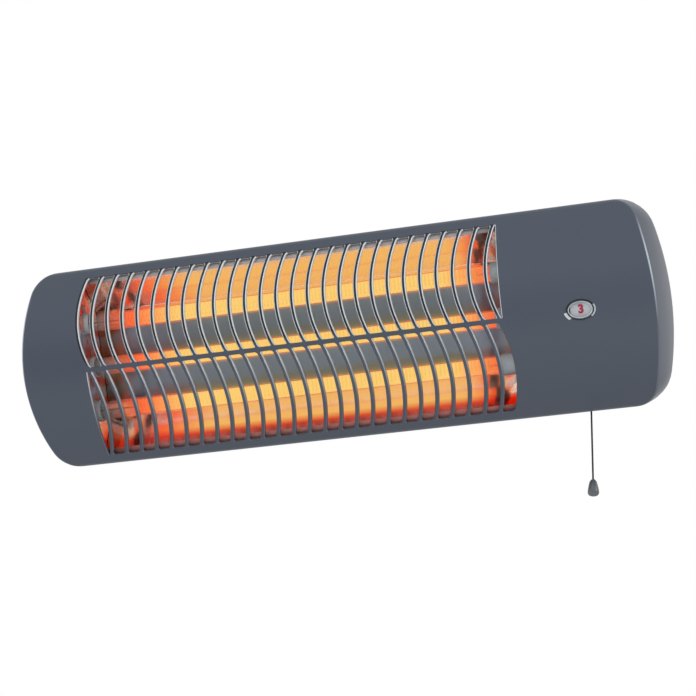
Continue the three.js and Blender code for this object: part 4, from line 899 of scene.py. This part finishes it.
# the trough's section from half of it, drawn out along the heater, with its faces turned to the
# tubes so that the sheet's thickness goes on behind them
half_pan = [(PAN_BACK_Y, DULLED_HALF), (PAN_BACK_Y, PAN_BACK_HALF), (PAN_FRONT_Y, PAN_FRONT_HALF),
            (PAN_FRONT_Y, PAN_FRONT_HALF + PAN_LIP)]
pan_line = rounded([(y, -z) for y, z in reversed(half_pan)] + half_pan, PAN_FOLD)
bm = bmesh.new()
dots = [bm.verts.new((PAN_START, y, z)) for y, z in pan_line]
folds = [bm.edges.new(pair) for pair in zip(dots, dots[1:])]
bmesh.ops.spin(bm, geom=dots + folds, cent=(0, 0, 0), axis=(1, 0, 0), angle=0, steps=PAN_STEPS,
               dvec=(PAN_LENGTH / PAN_STEPS, 0, 0))
bmesh.ops.reverse_faces(bm, faces=bm.faces)
for face in bm.faces:
    high = abs(face.calc_center_median().z)
    on_lip = high > PAN_FRONT_HALF - 0.5
    on_back = high < DULLED_HALF + 1
    face.material_index = 1 if on_lip else 2 if on_back else 0
pan = built("reflector_pan", bm, BODY, bright_aluminium, "heater", ["reflector_pan"])
pan.data.materials.append(satin_aluminium)
pan.data.materials.append(dulled_aluminium)
gauge = pan.modifiers.new("gauge", "SOLIDIFY")
gauge.thickness = 0.0008
gauge.offset = -1

# the bright sheet of the end plates, buckled by the heat in dents of 14 mm, so that it mirrors in
# patches, with pink patches painted on as reflections of the glow
buckled_aluminium, tree, out = blank("buckled_aluminium")
place = add(tree, "TexCoord")
dent = add(tree, "TexVoronoi", {"Vector": place.outputs["Object"], "Scale": 70.0})
relief = add(tree, "Bump", {"Height": dent.outputs["Distance"], "Strength": 0.35, "Distance": 0.003})
patch = add(tree, "TexNoise", {"Vector": place.outputs["Object"], "Scale": 75.0, "Detail": 1.0})
# the pink patches of painted reflection of the glow
painted_glow_patches = add(tree, "MapRange", {"Value": patch.outputs["Fac"], "From Min": 0.46, "From Max": 0.54})
tone = add(tree, "MixRGB", {"Fac": painted_glow_patches.outputs[0], "Color1": linear("#f2f6f8"),
                            "Color2": linear("#ffa08c")})
sheet = add(tree, "BsdfPrincipled", {"Base Color": tone.outputs[0], "Metallic": 1.0,
                                     "Roughness": 0.09, "Normal": relief.outputs[0]})
tree.links.new(sheet.outputs[0], out.inputs["Surface"])

finish_node("reflector_end_left", buckled_aluminium)
finish_node("reflector_end_right", buckled_aluminium)

# ---- tubes and coils ------------------------------------------------------------------------
# Three clear quartz tubes, each with a coil of resistance wire in its bore and a ceramic cap
# pressed on each end. The current makes the coils glow; the quartz's glow is painted on.
TUBE_ROWS = [32.5, 0.0, -32.5]
TUBE_RADIUS = 6.5
TUBE_WALL = 1.1
TUBE_Y = -17.0
TUBE_START = -192.0
TUBE_LENGTH = 324.0
COIL_START = -158.0
COIL_LENGTH = 268.0
COIL_TURNS = 96
COIL_WIRE = 0.55
COIL_GAP = 0.3
TURN_STEPS = 14
TAIL_IN_TUBE = 10
TAIL_PAST_TUBE = 9

# fired steatite: matt, pale grey and finely speckled, in grains of 2 mm, coarser than real to show
ceramic = clouded("steatite", 500.0, "#8f989d", "#a5adb1", {"Roughness": 0.7}, detail=4.0)


def hot_share(tree, start, end, soft):
    """A socket that is 1 between two places along the heater and falls to 0 past them."""
    place = add(tree, "TexCoord")
    split = add(tree, "SeparateXYZ", {0: place.outputs["Object"]})
    rise = add(tree, "MapRange", {"Value": split.outputs["X"], "From Min": start - soft,
                                  "From Max": start + soft})
    fall = add(tree, "MapRange", {"Value": split.outputs["X"], "From Min": end + soft,
                                  "From Max": end - soft})
    return add(tree, "Math", {0: rise.outputs[0], 1: fall.outputs[0]}, operation="MULTIPLY").outputs[0]


# drawn resistance wire, dark with scale where it is cold: orange hot, and yellow hot in the
# middle of the coil
hot_wire, tree, out = blank("glowing_wire")
share = hot_share(tree, -0.158, 0.107, 0.005)
heat = add(tree, "Math", {0: share, 1: 1.15}, operation="MULTIPLY")
core = hot_share(tree, -0.132, 0.100, 0.018)
glow = add(tree, "MixRGB", {"Fac": core, "Color1": linear("#ff7c38"),
                            "Color2": linear("#ffe27c")})
wire = add(tree, "BsdfPrincipled", {"Base Color": linear("#3a2a24"), "Roughness": 0.6,
                                    "Metallic": 0.8, "Emission Color": glow.outputs[0],
                                    "Emission Strength": heat.outputs[0]})
tree.links.new(wire.outputs[0], out.inputs["Surface"])

# drawn fused quartz: clear and glossy at its cold ends; between them the coil's light in it is
# painted on as emission over a dark tint, deep orange on its outer skin and yellow in its bore
quartz_skins_painted_glow = []
for name, start, end, solidity, hot, strength in (
    ("quartz_outer_skin", -0.172, 0.134, 0.35, linear("#e77338"), 0.85),
    ("quartz_bore", -0.160, 0.130, 0.60, linear("#ffe67e"), 1.03),
):
    quartz, tree, out = blank(name)
    # the glow in the hot quartz is painted: emission and a dark tint over its hot share
    share = hot_share(tree, start, end, 0.008)
    heat = add(tree, "Math", {0: share, 1: strength}, operation="MULTIPLY")
    clear = add(tree, "MapRange", {"Value": share, "To Min": 0.12, "To Max": solidity})
    tint = add(tree, "MixRGB", {"Fac": share, "Color1": linear("#bdbbb6"),
                                "Color2": linear("#2a1510")})
    core = hot_share(tree, -0.132, 0.100, 0.018)
    glow = add(tree, "MixRGB", {"Fac": core, "Color1": linear("#f96535"), "Color2": hot})
    tube = add(tree, "BsdfPrincipled", {"Base Color": tint.outputs[0], "Roughness": 0.08,
                                        "IOR": 1.46, "Alpha": clear.outputs[0],
                                        "Emission Color": glow.outputs[0],
                                        "Emission Strength": heat.outputs[0]})
    tree.links.new(tube.outputs[0], out.inputs["Surface"])
    quartz_skins_painted_glow.append(quartz)

tube_end = TUBE_START + TUBE_LENGTH
coil_end = COIL_START + COIL_LENGTH
inner = TUBE_RADIUS - TUBE_WALL
winding = inner - COIL_GAP - COIL_WIRE
for row, z in enumerate(TUBE_ROWS, 1):
    bm = lathe(rounded([
        (inner, TUBE_START), (TUBE_RADIUS, TUBE_START), (TUBE_RADIUS, tube_end),
        (inner, tube_end), (inner, TUBE_START),
    ], 0.4), TURNED_SIDES, "X")
    bmesh.ops.translate(bm, verts=bm.verts, vec=(0, TUBE_Y, z))
    for face in bm.faces:
        middle = face.calc_center_median()
        bore = (middle.y - TUBE_Y) ** 2 + (middle.z - z) ** 2 < (inner + 0.3) ** 2
        face.material_index = 1 if bore else 0
    glass = built(f"quartz_tube_{row}", bm, BODY, quartz_skins_painted_glow[0], "heater",
                  [f"quartz_tube_{row}"])
    glass.data.materials.append(quartz_skins_painted_glow[1])
    # the wire's straight tails run on its axis, and its first and last turns widen from there
    points = [(TUBE_START - TAIL_PAST_TUBE, 0, 0), (COIL_START - TAIL_IN_TUBE, 0, 0)]
    steps = COIL_TURNS * TURN_STEPS
    for i in range(steps + 1):
        grow = min(1, i / TURN_STEPS, (steps - i) / TURN_STEPS)
        angle = 2 * math.pi * i / TURN_STEPS
        points.append((COIL_START + COIL_LENGTH * i / steps,
                       winding * grow * math.cos(angle), winding * grow * math.sin(angle)))
    points += [(coil_end + TAIL_IN_TUBE, 0, 0), (tube_end + TAIL_PAST_TUBE, 0, 0)]
    points = [BODY @ (Vector(p) + Vector((0, TUBE_Y, z))) for p in points]
    line_of(f"heating_coil_{row}", points, COIL_WIRE / 1000, hot_wire, "heater",
            [f"heating_coil_{row}"], sides=1)
    for side in ("left", "right"):
        finish_node(f"tube_cap_{side}_{row}", ceramic)

# ---- steel and plastic parts ----------------------------------------------------------------
# The moulded back cover and small moulded parts, the coils' bus strip, and what is pressed, bent,
# turned or wound from plated steel: brackets, hinges, bolts, screws and the pull switch. These
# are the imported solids, each in the material of the real one.

# zinc-plated steel: a dull silver that the plating clouds over 6 mm
zinc_steel, tree, out = blank("zinc_plated_steel")
place = add(tree, "TexCoord")
spangle = add(tree, "TexNoise", {"Vector": place.outputs["Object"], "Scale": 160.0, "Detail": 4.0})
gloss = add(tree, "MapRange", {"Value": spangle.outputs["Fac"], "To Min": 0.28, "To Max": 0.5})
tone = add(tree, "MixRGB", {"Fac": spangle.outputs["Fac"], "Color1": linear("#9da2a6"),
                            "Color2": linear("#b9bec2")})
plate = add(tree, "BsdfPrincipled", {"Base Color": tone.outputs[0], "Metallic": 1.0,
                                     "Roughness": gloss.outputs[0]})
tree.links.new(plate.outputs[0], out.inputs["Surface"])

for finish, nodes in (
    (zinc_steel, ("wall_bracket", "hinge_lug_left", "hinge_lug_right", "pivot_bolt_left",
                  "pivot_bolt_right", "pivot_nut_left", "pivot_nut_right", "cover_screw_1",
                  "cover_screw_2", "cover_screw_3", "cover_screw_4", "pan_bracket_left",
                  "pan_bracket_right", "switch_frame", "drum_shaft", "return_spring")),
    (black_plastic, ("back_cover", "thermal_cutout", "cable_gland", "switch_block")),
    (bright_aluminium, ("bus_strip",)),
    (drum_finish, ("terminal_block",)),
    (knob_plastic, ("cord_guide", "ratchet_lever")),
):
    for node in nodes:
        finish_node(node, finish)

# ---- the cord inside ------------------------------------------------------------------------
# The same twisted cord, from the guide's mouth up to its tied end: a knot that rests on the
# lever's tongue, so that a pull on the cord turns the lever on the drum's shaft.
LEVER_REACH = CORD_Y - DRUM_Y
LEVER_REST = math.radians(12.7)
TONGUE_HALF = 1.5
KNOT_GAP = 0.1
KNOT_RADIUS = 2.0
KNOT_LUMP = 0.08
INSIDE_STEPS = 20
rise = LEVER_REACH * math.sin(LEVER_REST)
knot_z = WINDOW.y + rise + TONGUE_HALF + KNOT_GAP + KNOT_RADIUS
inside = [BODY @ Vector((CORD_X, CORD_Y, MOUTH_Z + (knot_z - MOUTH_Z) * i / INSIDE_STEPS))
          for i in range(INSIDE_STEPS + 1)]
bm = bmesh.new()
bmesh.ops.create_uvsphere(bm, u_segments=20, v_segments=12, radius=KNOT_RADIUS)
for vert in bm.verts:
    swirl = math.atan2(vert.co.y, vert.co.x) * 3 + vert.co.z * 2.2
    vert.co *= 1 + KNOT_LUMP * math.sin(swirl)
bmesh.ops.translate(bm, verts=bm.verts, vec=(CORD_X, CORD_Y, knot_z))
knot = built("cord_knot", bm, BODY, cord_yarn, "cord_pull", ())
inner_cord = line_of("cord_inner", inside, CORD_WIDTH / 2000, cord_yarn, "cord_pull",
                     ["cord_inner"])
